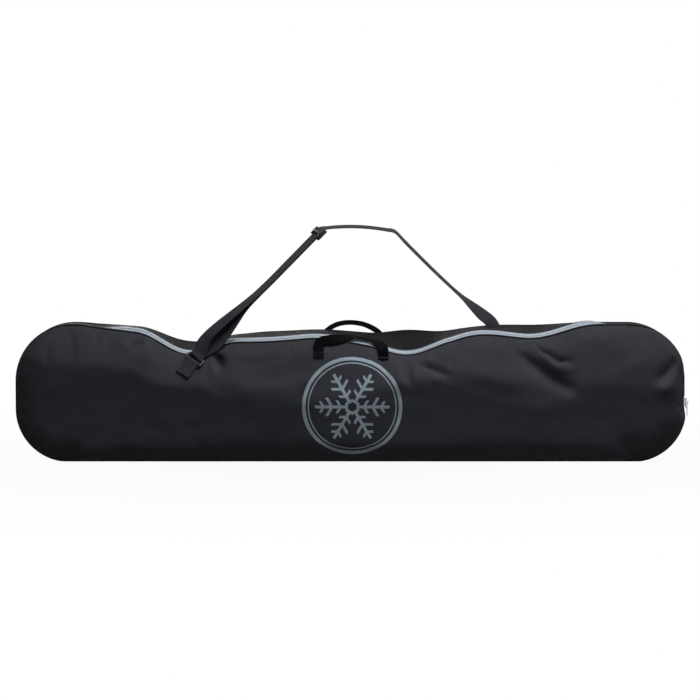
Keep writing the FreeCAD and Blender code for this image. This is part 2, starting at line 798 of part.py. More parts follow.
def make_strap_runs():
    width = size("strap_width")
    thickness = size("strap_thickness")
    foot, travel, length = left_run()
    top_left, top_right, seam = strap_corners()[1:]
    spacing = 24
    start = loop_radius() + thickness
    count = math.ceil((length - start) / spacing)
    distances = [start + (length - start) * index / count for index in range(count + 1)]
    stations = [run_station(distance, 1, -1) for distance in distances]
    offset = (thickness + size("strap_layer_gap")) / 2
    steps = 9
    crest = []
    for step in range(1, steps + 1):
        share = step / steps
        bulge = 0
        if step < steps:
            bulge = size("strap_crest") * math.sin(math.pi * share) ** size("strap_crest_fullness")
        crest.append(blend(top_left, top_right, share) + Z_AXIS * (bulge + offset))
    run = seam - top_right
    count = math.ceil(run.Length / spacing)
    fall = [top_right + run * (index / count) + Z_AXIS * (offset * (1 - index / count))
            for index in range(1, count + 1)]
    patch_end = size("strap_end_drop") + size("strap_patch_length")
    patch_start = size("strap_end_drop")
    tail = [rear_point(drop) for drop in (patch_start, (patch_start + patch_end) / 2, patch_end)]
    points = [station[0] for station in stations] + crest + fall + tail
    for index in range(len(stations), len(points)):
        step_travel = travel_at(points, index)
        if index < len(points) - len(tail):
            turned = smooth(1 - (points[index] - seam).Length / size("strap_fall_turn"))
            tilt = size("strap_fall_tilt") + (90 - size("strap_fall_tilt")) * turned
            across = strap_across(step_travel, tilt)
        else:
            across = step_travel.cross(panel_normal(points[index].x, points[index].z, BACK)).normalize()
        stations.append((points[index], across))
    whole = webbing(stations, width, thickness)
    add_shape("strap_main_run", swinging_part(whole))
    add_shape("rear_strap_tail", sewn_part(whole, 1))
    last = length - size("adjuster_from_top") + size("adjuster_bar") / 2
    count = math.ceil((last - start) / spacing)
    back = [run_station(start + (last - start) * index / count, -1, 1) for index in range(count + 1)]
    add_shape("strap_return_run", swinging_part(webbing(back, width, thickness)))


def make_ring_turn():
    """The doubled webbing round the ring's upper bar, up to where the strap swings."""
    foot, travel, length = left_run()
    across = ring_frame()[1]
    width = size("strap_width")
    hole = Part.makeCylinder(loop_radius(), width * 2, foot - across * width, across)
    outer_radius = loop_radius() + size("strap_thickness")
    outer = Part.makeCylinder(outer_radius, width, foot - across * (width / 2), across)
    layers = []
    for layer, fan_side in ((1, -1), (-1, 1)):
        distances = [size("ring_bar") / 5 + step * size("strap_thickness") * 6 for step in range(7)]
        stations = [run_station(distance, layer, fan_side) for distance in distances]
        layers.append(webbing(stations, width, size("strap_thickness")))
    root = [run_station(distance, 0, 0) for distance in distances[:2]]
    gap = webbing(root, width, size("strap_layer_gap") + size("strap_thickness") / 5)
    add_shape("strap_ring_turn", sewn_part(outer.fuse(layers + [gap]).cut(hole), -1))


def make_ring():
    """Rectangular ring of moulded plastic."""
    body = add_body("strap_ring")
    outline = add_sketch(body, "XY_Plane", "ring_outline")
    width = "(sizes.strap_width + 2 * sizes.webbing_side_clearance)"
    add_rectangle(outline, "outer", "%s + 2 * sizes.ring_bar" % width,
                  "sizes.ring_window + 2 * sizes.ring_bar")
    add_rectangle(outline, "window", width, "sizes.ring_window")
    pad = add_pad(body, outline, "ring", "sizes.ring_thickness", True)
    doc.recompute()
    corners = ["Edge%d" % (index + 1) for index, edge in enumerate(pad.Shape.Edges)
               if abs(edge.Vertexes[0].X - edge.Vertexes[-1].X) < 0.01
               and abs(edge.Vertexes[0].Y - edge.Vertexes[-1].Y) < 0.01
               and abs(edge.Vertexes[0].X) > size("strap_width") / 2 + size("ring_bar")]
    rounding = body.newObject("PartDesign::Fillet", "corner_rounding")
    rounding.Base = (pad, corners)
    rounding.setExpression("Radius", "sizes.ring_corner_radius")
    body.Tip = rounding
    centre, across, upward, outward = ring_frame()
    place(body, centre, across, outward)


def tab_end():
    """Where the tab's sewn end stands on the panel."""
    centre, across, upward, outward = ring_frame()
    bar = ring_bar_centre(-1)
    low = bar - upward * size("tab_length")
    depth = panel_surface(low.x, low.z, FRONT) - size("strap_thickness") - size("tab_lift")
    return Vector(low.x, depth, low.z)


def add_circle(sketch, name, radius):
    index = sketch.addGeometry(Part.Circle(Vector(0, 0, 0), Z_AXIS, 2), False)
    sketch.addConstraint(Sketcher.Constraint("Coincident", index, 3, -1, 1))
    constraint = sketch.addConstraint(Sketcher.Constraint("Radius", index, 2))
    sketch.renameConstraint(constraint, name)
    sketch.setExpression("Constraints.%s" % name, radius)


def make_tab():
    """Tab of doubled webbing with an eye for the ring's lower bar."""
    body = add_body("strap_tab")
    inner = "(sqrt(sizes.ring_bar ^ 2 + sizes.ring_thickness ^ 2) / 2 + sizes.ring_clearance)"
    tail = add_sketch(body, "YZ_Plane", "tail_outline")
    add_rectangle(tail, "tail", "sizes.tab_length", "2 * sizes.strap_thickness",
                  "0 - sizes.tab_length / 2", "0")
    add_pad(body, tail, "tail", "sizes.strap_width", True)
    eye = add_sketch(body, "YZ_Plane", "eye_outline")
    add_circle(eye, "eye_radius", inner + " + sizes.strap_thickness")
    add_pad(body, eye, "eye", "sizes.strap_width", True)
    hole = add_sketch(body, "YZ_Plane", "hole_outline")
    add_circle(hole, "hole_radius", inner)
    doc.recompute()
    before = body.Shape.Volume
    pocket = body.newObject("PartDesign::Pocket", "bar_hole")
    pocket.Profile = hole
    pocket.Midplane = True
    pocket.setExpression("Length", "2 * sizes.strap_width")
    hole.Visibility = False
    doc.recompute()
    if pocket.Shape.Volume >= before:
        raise RuntimeError("the eye of the strap tab was not cut")
    body.Tip = pocket
    bar = ring_bar_centre(-1)
    centre, across, upward, outward = ring_frame()
    rise = (bar - tab_end()).normalize()
    place(body, bar, across, across.cross(rise))


def adjuster_frame():
    foot, travel, length = left_run()
    distance = length - size("adjuster_from_top")
    across = run_station(distance, 0, 0)[1]
    return foot + travel * distance, across, travel


def make_adjuster():
    """Three-bar adjuster: two low bars and side rails, and a raised middle bar."""
    body = add_body("strap_adjuster")
    stack = "(sizes.strap_thickness + sizes.strap_layer_gap / 2 + sizes.adjuster_clearance)"
    opening = "(sizes.strap_width + 2 * sizes.webbing_side_clearance)"
    low = add_sketch(body, "XY_Plane", "frame_outline", "0 - %s - sizes.adjuster_plate" % stack)
    add_rectangle(low, "outer", "%s + 2 * sizes.adjuster_bar" % opening, "sizes.adjuster_length")
    add_rectangle(low, "window", opening, "sizes.adjuster_length - 2 * sizes.adjuster_bar")
    add_pad(body, low, "frame", "sizes.adjuster_plate")
    rails = add_sketch(body, "XY_Plane", "rail_outline", "0 - %s" % stack)
    for name, sign in (("left_rail", "-"), ("right_rail", "+")):
        add_rectangle(rails, name, "sizes.adjuster_bar", "sizes.adjuster_length",
                      "0 %s (%s + sizes.adjuster_bar) / 2" % (sign, opening))
    add_pad(body, rails, "rails", "2 * %s + sizes.adjuster_plate" % stack)
    bar = add_sketch(body, "XY_Plane", "bar_outline", stack)
    add_rectangle(bar, "middle_bar", "%s + sizes.adjuster_bar" % opening, "sizes.adjuster_bar")
    body.Tip = add_pad(body, bar, "middle_bar", "sizes.adjuster_plate")
    centre, across, travel = adjuster_frame()
    place(body, centre, across, across.cross(travel) * -1)


make_shell()
make_zip()
make_stops()
make_slider()
make_puller()
make_patches()
make_handles()
make_strap_runs()
make_ring_turn()
make_ring()
make_tab()
make_adjuster()

doc.recompute()
PARTS = [item for item in doc.Objects
         if item.TypeId == "PartDesign::Body" or item.TypeId == "Part::Feature"]
for item in doc.Objects:
    if "Invalid" in item.State or "Error" in item.State:
        raise RuntimeError("%s failed to build" % item.Label)
for part in PARTS:
    if part.Shape.isNull() or not part.Shape.isValid() or not part.Shape.Solids:
        raise RuntimeError("%s has no valid solid" % part.Label)


def print_axis(name, point, direction):
    """One line for each joint: where its axis passes, and its direction."""
    place_text = " ".join("%.4f" % value for value in point)
    print("axis %s at %s along %s" % (name, place_text, " ".join("%.6f" % value for value in direction)))


fold_left, fold_right = fold_points()
fold_depth = -HALF_DEPTH - size("panel_bulge") - size("fold_axis_clearance")
print_axis("flap_open", fold_left + Y_AXIS * fold_depth, (fold_right - fold_left).normalize())
print_axis("zip_slide", Vector(LENGTH / 2, ZIP_Y, slider_height()), Z_AXIS)
print_axis("puller_swing", puller_axis(), Y_AXIS * -1)
print_axis("front_handle_swing", *handle_hinge(FRONT))
print_axis("rear_handle_swing", handle_hinge(BACK)[0], handle_hinge(BACK)[1] * -1)
print_axis("strap_swing", strap_hinge()[0], strap_hinge()[2])
print_axis("strap_far_end", strap_hinge()[1], strap_hinge()[2])
print_axis("adjuster_slide", adjuster_frame()[0], adjuster_frame()[2] * -1)
print("travel zip_slide %.2f" % (HEIGHT - TOP_RADIUS - slider_height() - size("slider_length") / 2))

os.makedirs("parts", exist_ok=True)
for part in PARTS:
    part.Shape.exportStep("parts/%s.step" % part.Label)
    box = part.Shape.BoundBox
    print("%-22s %d solid(s), %.0f mm3, x %.1f..%.1f y %.1f..%.1f z %.1f..%.1f" % (
        part.Label, len(part.Shape.Solids), part.Shape.Volume,
        box.XMin, box.XMax, box.YMin, box.YMax, box.ZMin, box.ZMax))
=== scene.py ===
import json
import math

import bmesh
import bpy
import numpy as np
from bpy.props import FloatProperty, FloatVectorProperty, IntProperty, PointerProperty
from mathutils import Matrix, Vector, noise
from mathutils.bvhtree import BVHTree
from mathutils.kdtree import KDTree


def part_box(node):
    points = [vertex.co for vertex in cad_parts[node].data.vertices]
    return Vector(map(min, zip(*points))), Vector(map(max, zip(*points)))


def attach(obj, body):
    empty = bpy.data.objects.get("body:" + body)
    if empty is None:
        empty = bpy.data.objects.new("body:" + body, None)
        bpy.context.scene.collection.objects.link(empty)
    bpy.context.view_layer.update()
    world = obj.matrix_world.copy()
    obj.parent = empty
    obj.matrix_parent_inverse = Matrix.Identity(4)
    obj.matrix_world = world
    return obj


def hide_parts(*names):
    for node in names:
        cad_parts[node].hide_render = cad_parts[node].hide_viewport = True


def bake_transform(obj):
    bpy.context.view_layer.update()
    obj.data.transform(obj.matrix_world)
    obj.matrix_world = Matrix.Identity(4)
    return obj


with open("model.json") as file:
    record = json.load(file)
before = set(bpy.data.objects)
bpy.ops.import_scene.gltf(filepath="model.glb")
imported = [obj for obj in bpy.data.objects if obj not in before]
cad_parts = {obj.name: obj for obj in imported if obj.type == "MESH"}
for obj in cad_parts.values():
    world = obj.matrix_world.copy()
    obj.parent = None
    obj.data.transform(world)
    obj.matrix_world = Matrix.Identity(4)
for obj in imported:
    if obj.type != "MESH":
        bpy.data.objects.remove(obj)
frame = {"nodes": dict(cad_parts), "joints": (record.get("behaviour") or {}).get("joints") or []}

bl_info = {
    "name": "Snowboard Bag",
    "version": (1, 0, 0),
    "blender": (4, 5, 0),
    "location": "View3D > Sidebar > Snowboard Bag",
    "description": "Sewn cloth, zip, webbing and fittings of a snowboard bag, built round its packed parts",
    "category": "Add Mesh",
}

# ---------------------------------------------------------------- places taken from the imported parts

X_AXIS = Vector((1, 0, 0))
Y_AXIS = Vector((0, 1, 0))
Z_AXIS = Vector((0, 0, 1))
FRONT = -1
BACK = 1
UV_NAME = "cut"

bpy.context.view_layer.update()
HALF_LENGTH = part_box("bottom_gusset")[1].x
HALF_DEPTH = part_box("bottom_gusset")[1].y
BASE_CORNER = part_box("bottom_gusset")[1].z
HEIGHT = round(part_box("back_panel")[1].z, 3)
FRONT_TAPE = (-HALF_DEPTH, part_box("front_zip_tape")[1].y)
REAR_TAPE = (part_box("rear_zip_tape")[0].y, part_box("rear_zip_tape")[1].y)
CROWN_DEPTH = REAR_TAPE[1] + 0.0006
COIL_MIDDLE = (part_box("front_zip_coil")[0].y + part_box("rear_zip_coil")[1].y) / 2
JOINTS = {joint["name"]: joint for joint in frame["joints"]}


def pivot(name):
    return Vector(JOINTS[name]["pos_m"])


def turning_line(name):
    return Vector(JOINTS[name]["axis"]).normalized()


FOLD = pivot("flap_open")

# dips of the top edge: place, half length, depth at the front seam and at the rear seam
DIPS = [
    (-0.390, 0.124, 0.0375, 0.0265),
    (-0.300, 0.110, 0.0000, 0.0070),
    (-0.252, 0.487, 0.0420, 0.0235),
    (0.147, 0.264, 0.0560, 0.027),
    (0.136, 0.097, 0.0130, -0.010),
    (0.426, 0.165, 0.0330, 0.007),
]


# ---------------------------------------------------------------- sizes and colours that a user would change

def length_property(name, description, default):
    return FloatProperty(name=name, description=description, default=default,
                         subtype="DISTANCE", unit="LENGTH")


def colour_property(name, description, default):
    return FloatVectorProperty(name=name, description=description, default=default, subtype="COLOR",
                               size=3, min=0, max=1)


class BagShellSettings(bpy.types.PropertyGroup):
    top_corner: length_property("Top corner", "Radius of the two upper corners", 0.135)
    bulge: length_property("Bulge", "How far the front stands out from its seam", 0.036)
    back_bulge: length_property("Back bulge", "How far the back stands out from its seam", 0.027)
    dome_reach: length_property("Dome reach", "Distance in from the ends over which a panel rises", 0.062)
    base_reach: length_property("Base reach", "Distance up from the base over which a panel rises", 0.019)
    cloth: length_property("Cloth thickness", "Thickness of the coated cloth", 0.0012)
    mesh_step: length_property("Mesh step", "Size of the mesh on the panels", 0.0050)
    fold_strength: FloatProperty(name="Fold strength", description="Scale of the heights of all the folds",
                                 default=1.5, min=0, max=4)
    slack: FloatProperty(name="Slack", description="How much larger the cloth is than its seams",
                         default=0.010, min=0, max=0.05)
    frames: IntProperty(name="Frames", description="Length of the cloth simulation", default=26,
                        min=1, max=80)


class BagZipSettings(bpy.types.PropertyGroup):
    tooth_pitch: length_property("Tooth pitch", "Distance between two teeth of one side", 0.0028)
    tape_thickness: length_property("Tape thickness", "Thickness of the zip tape", 0.0008)
    shown: length_property("Shown", "How far the gusset rises behind the seam where the zip shows", 0.0088)
    tuck: length_property("Tuck", "How far the front seam lies in at the end where the zip shows", 0.0060)
    hollow: length_property("Hollow", "How far the gusset lies in between its seams at the ends", 0.0035)
    path: length_property("Path", "How far the gusset lies in where the slider runs", 0.0014)
    piping: length_property("Piping radius", "Radius of the piping along the seams", 0.0026)


class BagWebbingSettings(bpy.types.PropertyGroup):
    strap_width: length_property("Strap width", "Width of the shoulder strap", 0.035)
    fan: length_property("Fan", "How far the two layers of the strap spread apart above the ring", 0.0188)
    bow: length_property("Bow", "How far the strap bows out of its straight line above the ring", 0.0085)
    strap_thickness: length_property("Strap thickness", "Thickness of the shoulder strap", 0.002)
    handle_width: length_property("Handle width", "Width of the carrying handles", 0.025)
    handle_thickness: length_property("Handle thickness", "Thickness of the carrying handles", 0.003)
    handle_spacing: length_property("Handle spacing", "Distance between the two ends of a handle", 0.154)
    stitch: length_property("Stitch", "Length of one stitch", 0.0034)


class BagColourSettings(bpy.types.PropertyGroup):
    cloth: colour_property("Cloth", "Coated cloth of the shell", (0.0205, 0.0211, 0.0252))
    # the gussets are the same cloth as the shell; their much darker colour is painted shade
    gusset: colour_property("Gusset", "Coated cloth of the gussets", (0.0052, 0.0053, 0.0064))
    lining: colour_property("Lining", "Inside of the shell", (0.010, 0.010, 0.012))
    emblem: colour_property("Emblem", "Printed snowflake on the front", (0.165, 0.205, 0.235))
    tape: colour_property("Zip tape", "Woven tape and teeth of the zip", (0.160, 0.186, 0.212))
    # piping: darker than the cloth, partly its own dark colour and partly painted shade for the shadow line
    # under the zip
    piping: colour_property("Piping", "Piping and seam tape", (0.0045, 0.0045, 0.0058))
    strap: colour_property("Strap", "Webbing of the shoulder strap", (0.0170, 0.0180, 0.0212))
    handle: colour_property("Handle", "Webbing of the handles", (0.0009, 0.0009, 0.0012))
    plastic: colour_property("Plastic", "Ring and adjuster", (0.0050, 0.0050, 0.0058))
    metal: colour_property("Metal", "Slider, puller and stops", (0.52, 0.53, 0.54))


# ---------------------------------------------------------------- small sums

def smooth(share):
    share = max(0.0, min(1.0, share))
    return share * share * (3 - 2 * share)


def fade(value, start, reach):
    """0 at the start and 1 a reach further on; a reach below 0 fades towards lower values."""
    return smooth((value - start) / reach)


def bell(distance, reach):
    """One smooth bump: 1 at its centre and 0 from its reach outwards."""
    share = min(abs(distance) / reach, 1)
    return math.cos(math.pi / 2 * share) ** 2


def squared(direction, travel):
    """The direction made square to the way of travel, and 1 long."""
    return (direction - travel * direction.dot(travel)).normalized()


def placed(first, second, third, place):
    """Matrix from three axes and a place."""
    matrix = Matrix((first, second, third)).transposed().to_4x4()
    matrix.translation = place
    return matrix


# ---------------------------------------------------------------- the bag's edge

# where the zip shows, as a place and the reach over which it comes into view from there: along the top from
# the left and from the right, and at the right end from below and from above
SHOWN_FROM_LEFT = (-0.615, 0.085)
SHOWN_FROM_RIGHT = (0.630, -0.070)
SHOWN_FROM_BELOW = (0.095, 0.045)
SHOWN_FROM_ABOVE = (0.262, -0.075)
HOLLOW_START = 0.030
DIP_END = 0.06


class Edge:
    """The bag's edge as a loop: up the left side, over the top, down the right side, back along the base."""

    def __init__(self):
        shell = bpy.context.scene.bag_shell
        zip_settings = bpy.context.scene.bag_zip
        self.tuck = zip_settings.tuck
        self.shown = zip_settings.shown
        self.hollow = zip_settings.hollow
        self.path = zip_settings.path
        self.corner = shell.top_corner
        self.top_x = HALF_LENGTH - self.corner
        self.top_z = HEIGHT - self.corner
        self.base_x = HALF_LENGTH - BASE_CORNER
        self.side = self.top_z - BASE_CORNER
        self.top_arc = math.pi / 2 * self.corner
        self.base_arc = math.pi / 2 * BASE_CORNER
        self.stretches = [self.side, self.top_arc, 2 * self.top_x, self.top_arc, self.side,
                          self.base_arc, 2 * self.base_x, self.base_arc]
        self.length = sum(self.stretches)
        self.upper = sum(self.stretches[:5])

    def top(self, x, depth):
        """Height of the top edge at x, in the upright plane at a depth."""
        rear_share = (depth + HALF_DEPTH) / (2 * HALF_DEPTH)
        sag = sum((front + (rear - front) * rear_share) * bell(x - place, reach)
                  for place, reach, front, rear in DIPS)
        return HEIGHT - sag * fade(abs(x), self.top_x, -DIP_END)

    def locate(self, distance, depth):
        """Place and outward direction in the upright plane, as x, z, outward x and outward z."""
        distance %= self.length
        stretch = 0
        while stretch < 7 and distance > self.stretches[stretch]:
            distance -= self.stretches[stretch]
            stretch += 1
        if stretch == 0:
            return -HALF_LENGTH, BASE_CORNER + distance, -1, 0
        if stretch == 2:
            x = distance - self.top_x
            step = 0.002
            slope = (self.top(x + step, depth) - self.top(x - step, depth)) / (2 * step)
            size = math.hypot(slope, 1)
            return x, self.top(x, depth), -slope / size, 1 / size
        if stretch == 4:
            return HALF_LENGTH, self.top_z - distance, 1, 0
        if stretch == 6:
            return self.base_x - distance, 0, 0, -1
        centre_x, centre_z, radius, start = {
            1: (-self.top_x, self.top_z, self.corner, math.pi),
            3: (self.top_x, self.top_z, self.corner, math.pi / 2),
            5: (self.base_x, BASE_CORNER, BASE_CORNER, 0),
            7: (-self.base_x, BASE_CORNER, BASE_CORNER, -math.pi / 2),
        }[stretch]
        turn = start - distance / radius
        return (centre_x + radius * math.cos(turn), centre_z + radius * math.sin(turn),
                math.cos(turn), math.sin(turn))

    def point(self, distance, depth, out=0.0):
        x, z, out_x, out_z = self.locate(distance, depth)
        return Vector((x + out_x * out, depth, z + out_z * out))

    def at_top(self, x):
        return self.side + self.top_arc + x + self.top_x

    def end_share(self, distance):
        """1 on the stretch of the right end where the zip shows and 0 elsewhere."""
        x, z = self.locate(distance, -HALF_DEPTH)[:2]
        return fade(z, *SHOWN_FROM_BELOW) * fade(z, *SHOWN_FROM_ABOVE) if x > self.top_x else 0

    def rise(self, distance):
        """How far the gusset rises from the front seam to its crown behind the zip."""
        x, z = self.locate(distance, -HALF_DEPTH)[:2]
        if self.side < distance < self.upper - self.side and x <= self.top_x:
            slope = self.top(x, CROWN_DEPTH) - self.top(x, -HALF_DEPTH)
            share = fade(x, *SHOWN_FROM_LEFT) * fade(x, *SHOWN_FROM_RIGHT)
            return share * self.shown - slope - (1 - share) * self.hollow
        if distance >= self.upper:
            return 0
        if x > 0:
            level = self.hollow + (self.path - self.hollow) * fade(z, *SHOWN_FROM_ABOVE)
        else:
            level = self.hollow * fade(z, BASE_CORNER, HOLLOW_START)
        return self.end_share(distance) * self.tuck - level

    def out(self, distance, depth):
        """How far the gusset stands out from the plain edge."""
        if depth < CROWN_DEPTH:
            share = 1 - ((CROWN_DEPTH - depth) / (CROWN_DEPTH + HALF_DEPTH)) ** 2
            return self.rise(distance) * share - self.tuck * self.end_share(distance)
        share = 1 - ((depth - CROWN_DEPTH) / (HALF_DEPTH - CROWN_DEPTH)) ** 2
        return (self.rise(distance) - self.tuck * self.end_share(distance)) * share

    def gusset_point(self, distance, depth, lift=0.0):
        return self.point(distance, depth, self.out(distance, depth) + lift)

    def gusset_matrix(self, distance, depth, lift, sizes):
        """Placement on the gusset: along it, across it and outwards, with a size for each."""
        step = 0.001
        ahead, behind = (self.gusset_point(distance + shift, depth) for shift in (step, -step))
        further, nearer = (self.gusset_point(distance, depth + shift) for shift in (step, -step))
        travel = (ahead - behind).normalized()
        across = squared(further - nearer, travel)
        outward = travel.cross(across)
        out_x, out_z = self.locate(distance, depth)[2:]
        if outward.x * out_x + outward.z * out_z < 0:
            outward.negate()
        place = self.gusset_point(distance, depth) + outward * lift
        return placed(travel * sizes[0], across * sizes[1], outward * sizes[2], place)


# ---------------------------------------------------------------- making meshes

def new_piece(name, bm, *materials):
    mesh = bpy.data.meshes.new(name)
    bm.to_mesh(mesh)
    bm.free()
    mesh.shade_smooth()
    piece = bpy.data.objects.new(name, mesh)
    bpy.context.scene.collection.objects.link(piece)
    for material in materials:
        mesh.materials.append(material)
    return piece


def bent_grid(columns, rows, place, cut):
    """Grid bent to a surface; place and cut take two shares from 0 to 1 and give a point and a flat place."""
    bm = bmesh.new()
    bmesh.ops.create_grid(bm, x_segments=columns, y_segments=rows, size=1)
    layer = bm.loops.layers.uv.new(UV_NAME)
    shares = {vertex: ((vertex.co.x + 1) / 2, (vertex.co.y + 1) / 2) for vertex in bm.verts}
    for face in bm.faces:
        for loop in face.loops:
            loop[layer].uv = cut(*shares[loop.vert])
    for vertex, (along, across) in shares.items():
        vertex.co = place(along, across)
    return bm


def close_tube(bm, capped=True):
    """Welds the seam of a rolled-up grid and closes its two ends."""
    bmesh.ops.remove_doubles(bm, verts=bm.verts[:], dist=1e-6)
    rim = [edge for edge in bm.edges if edge.is_boundary]
    if capped and rim:
        bmesh.ops.holes_fill(bm, edges=rim, sides=0)
    bmesh.ops.recalc_face_normals(bm, faces=bm.faces[:])
    return bm


def thicken(piece, thickness, offset, lining=0):
    """Gives a sheet its thickness; its rim stays crisp."""
    bm = bmesh.new()
    bm.from_mesh(piece.data)
    for edge in bm.edges:
        edge.smooth = not edge.is_boundary
    bm.to_mesh(piece.data)
    bm.free()
    solid = piece.modifiers.new("thickness", "SOLIDIFY")
    solid.thickness = thickness
    solid.offset = offset
    solid.material_offset = lining
    solid.material_offset_rim = 0


def beads_at(name, finish, placements):
    """One piece of small round beads of 20 faces, one at every placement."""
    small = bmesh.new()
    bmesh.ops.create_icosphere(small, subdivisions=1, radius=1)
    shape = bpy.data.meshes.new("bead")
    small.to_mesh(shape)
    small.free()
    bm = bmesh.new()
    for placement in placements:
        bead = shape.copy()
        bead.transform(placement)
        bm.from_mesh(bead)
        bpy.data.meshes.remove(bead)
    bpy.data.meshes.remove(shape)
    return new_piece(name, bm, finish_for(finish))


def settle(piece, body, slot, *nodes):
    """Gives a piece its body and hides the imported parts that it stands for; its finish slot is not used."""
    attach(piece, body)
    if nodes:
        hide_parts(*nodes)


def sew_on(piece, slot, *nodes):
    """Settles a piece on the bag; one of the opening only has its placement baked into its mesh."""
    if not piece.name.startswith("opening"):
        settle(piece, "root", slot, *nodes)
        return
    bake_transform(piece)
    if nodes:
        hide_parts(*nodes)


# ---------------------------------------------------------------- finishes

class Field:
    """A number that varies over a surface, made with Math nodes."""

    def __init__(self, tree, socket):
        self.tree = tree
        self.socket = socket

    def combine(self, operation, *others, clamp=False):
        node = self.tree.nodes.new("ShaderNodeMath")
        node.operation = operation
        node.use_clamp = clamp
        self.tree.links.new(self.socket, node.inputs[0])
        for index, other in enumerate(others, 1):
            if isinstance(other, Field):
                self.tree.links.new(other.socket, node.inputs[index])
            else:
                node.inputs[index].default_value = other
        return Field(self.tree, node.outputs[0])

    def __add__(self, other):
        return self.combine("ADD", other)

    def __sub__(self, other):
        return self.combine("SUBTRACT", other)

    def __mul__(self, other):
        return self.combine("MULTIPLY", other)

    def size(self):
        return self.combine("ABSOLUTE")

    def below(self, limit, softness):
        """1 well below the limit and 0 above it."""
        return (self * (-1 / softness)).combine("ADD", limit / softness, clamp=True)

    def both(self, other):
        return self.combine("MULTIPLY", other)

    def either(self, other):
        return self.combine("MAXIMUM", other)


class Finish:
    """One material with its shader and the helpers that its nodes need."""

    def __init__(self, name, colour, roughness, **shader_values):
        self.material = bpy.data.materials.new(name)
        self.material.use_nodes = True
        self.tree = self.material.node_tree
        self.shader = self.tree.nodes["Principled BSDF"]
        self.colour = tuple(colour)
        self.shader.inputs["Base Color"].default_value = self.colour + (1,)
        self.shader.inputs["Roughness"].default_value = roughness
        for socket, value in shader_values.items():
            self.shader.inputs[socket.replace("_", " ")].default_value = value
        self.height = None

    def node(self, kind, links=(), **values):
        node = self.tree.nodes.new("ShaderNode" + kind)
        for key, value in values.items():
            if key in node.inputs:
                node.inputs[key].default_value = value
            else:
                setattr(node, key, value)
        for socket, source in dict(links).items():
            self.tree.links.new(source, node.inputs[socket])
        return node

    def cut_places(self):
        """Places on the flat cut piece, in metres."""
        places = self.node("UVMap", uv_map=UV_NAME).outputs["UV"]
        parts = self.node("SeparateXYZ", {"Vector": places})
        return places, Field(self.tree, parts.outputs["X"]), Field(self.tree, parts.outputs["Y"])

    def object_places(self):
        return self.node("TexCoord").outputs["Object"]

    def noise(self, places, scale, detail=3.0, roughness=0.55):
        node = self.node("TexNoise", {"Vector": places}, Scale=scale, Detail=detail, Roughness=roughness)
        return Field(self.tree, node.outputs["Fac"])

    def stretch(self, places, scale):
        return self.node("Mapping", {"Vector": places}, Scale=scale).outputs["Vector"]

    def colour_by(self, mix):
        self.tree.links.new(mix, self.shader.inputs["Base Color"])

    def tint(self, share, dark, light):
        """Base colour between two levels of the finish's own colour."""
        mix = self.shades(share, self.colour, dark, light)
        self.colour_by(mix)
        return mix

    def shades(self, share, colour, dark, light):
        """One colour between two of its levels."""
        return self.mix_colours(share, [value * dark for value in colour],
                                [value * light for value in colour])

    def mix_colours(self, share, first, second):
        node = self.node("Mix", data_type="RGBA")
        self.tree.links.new(share.socket, node.inputs["Factor"])
        for socket, value in ((node.inputs[6], first), (node.inputs[7], second)):
            if isinstance(value, bpy.types.NodeSocket):
                self.tree.links.new(value, socket)
            else:
                socket.default_value = tuple(value) + (1,)
        return node.outputs[2]

    def feed(self, socket, field, low, high):
        spread = self.node("MapRange", {"Value": field.socket})
        spread.inputs["To Min"].default_value = low
        spread.inputs["To Max"].default_value = high
        self.tree.links.new(spread.outputs["Result"], self.shader.inputs[socket])

    def bump(self, field, distance, strength=1.0):
        """Adds relief, in metres from lowest to highest."""
        node = self.node("Bump", {"Height": field.socket}, Distance=distance, Strength=strength)
        if self.height:
            self.tree.links.new(self.height, node.inputs["Normal"])
        self.height = node.outputs["Normal"]
        self.tree.links.new(self.height, self.shader.inputs["Normal"])

    def weave(self, along, across, warp, weft):
        """Plain weave of two thread widths: 1 on top of a thread and 0 between threads."""
        first = (along * (math.pi / warp)).combine("SINE")
        second = (across * (math.pi / weft)).combine("SINE")
        over = first.both(second).combine("GREATER_THAN", 0.0)
        under = (over * -1) + 1
        return first.size().both(over) + second.size().both(under)


# distances between the threads, ribs and woven lines of the cloths
WARP = 0.00085
WEFT = 0.00095
WEBBING_RIB = 0.0017
TAPE_RIB = 0.00075
TAPE_LINE = 0.0012


def cloth_finish(name, colour, emblem=None):
    finish = Finish(name, colour, 0.66, Specular_IOR_Level=0.03)
    places, along, across = finish.cut_places()
    threads = finish.weave(along, across, WARP, WEFT)
    slubs = finish.noise(finish.stretch(places, (140, 900, 1)), 1.0, 2.0)
    mottle = finish.noise(places, 21.0, 4.0, 0.6)
    shade = (mottle * 0.6 + slubs * 0.4).both(threads * 0.25 + 0.75)
    base = finish.tint(shade, 0.78, 1.26)
    finish.feed("Roughness", mottle, 0.58, 0.74)
    if emblem:
        print_ink(finish, base, emblem, along, across, threads)
    finish.bump(finish.noise(places, 38.0, 3.0), 0.0009, 0.6)
    finish.bump(slubs, 0.00012, 0.6)
    finish.bump(threads, 0.00016, 0.75)
    return finish.material


EMBLEM_PLACE = (0.003, 0.133)
EMBLEM_SCALE = 1.07
INK_EDGE = 0.0005
SIXTH = math.pi / 3
# the emblem's rings, and the hub and shaft of one arm, as the middle of a line and half its width
OUTER_RING = (0.1075, 0.0042)
INNER_RING = (0.0975, 0.0016)
HUB = (0.0125, 0.0032)
SHAFT = (0.047, 0.036)
SHAFT_HALF_WIDTH = 0.0036
# the branches of one arm: distance from the hub, length and half the width
BRANCHES = [(0.026, 0.017, 0.0030), (0.045, 0.024, 0.0032), (0.064, 0.015, 0.0028)]
BRANCH_ROOT = 0.004


def line_at(field, middle, half_width):
    return (field - middle).size().below(half_width, INK_EDGE)


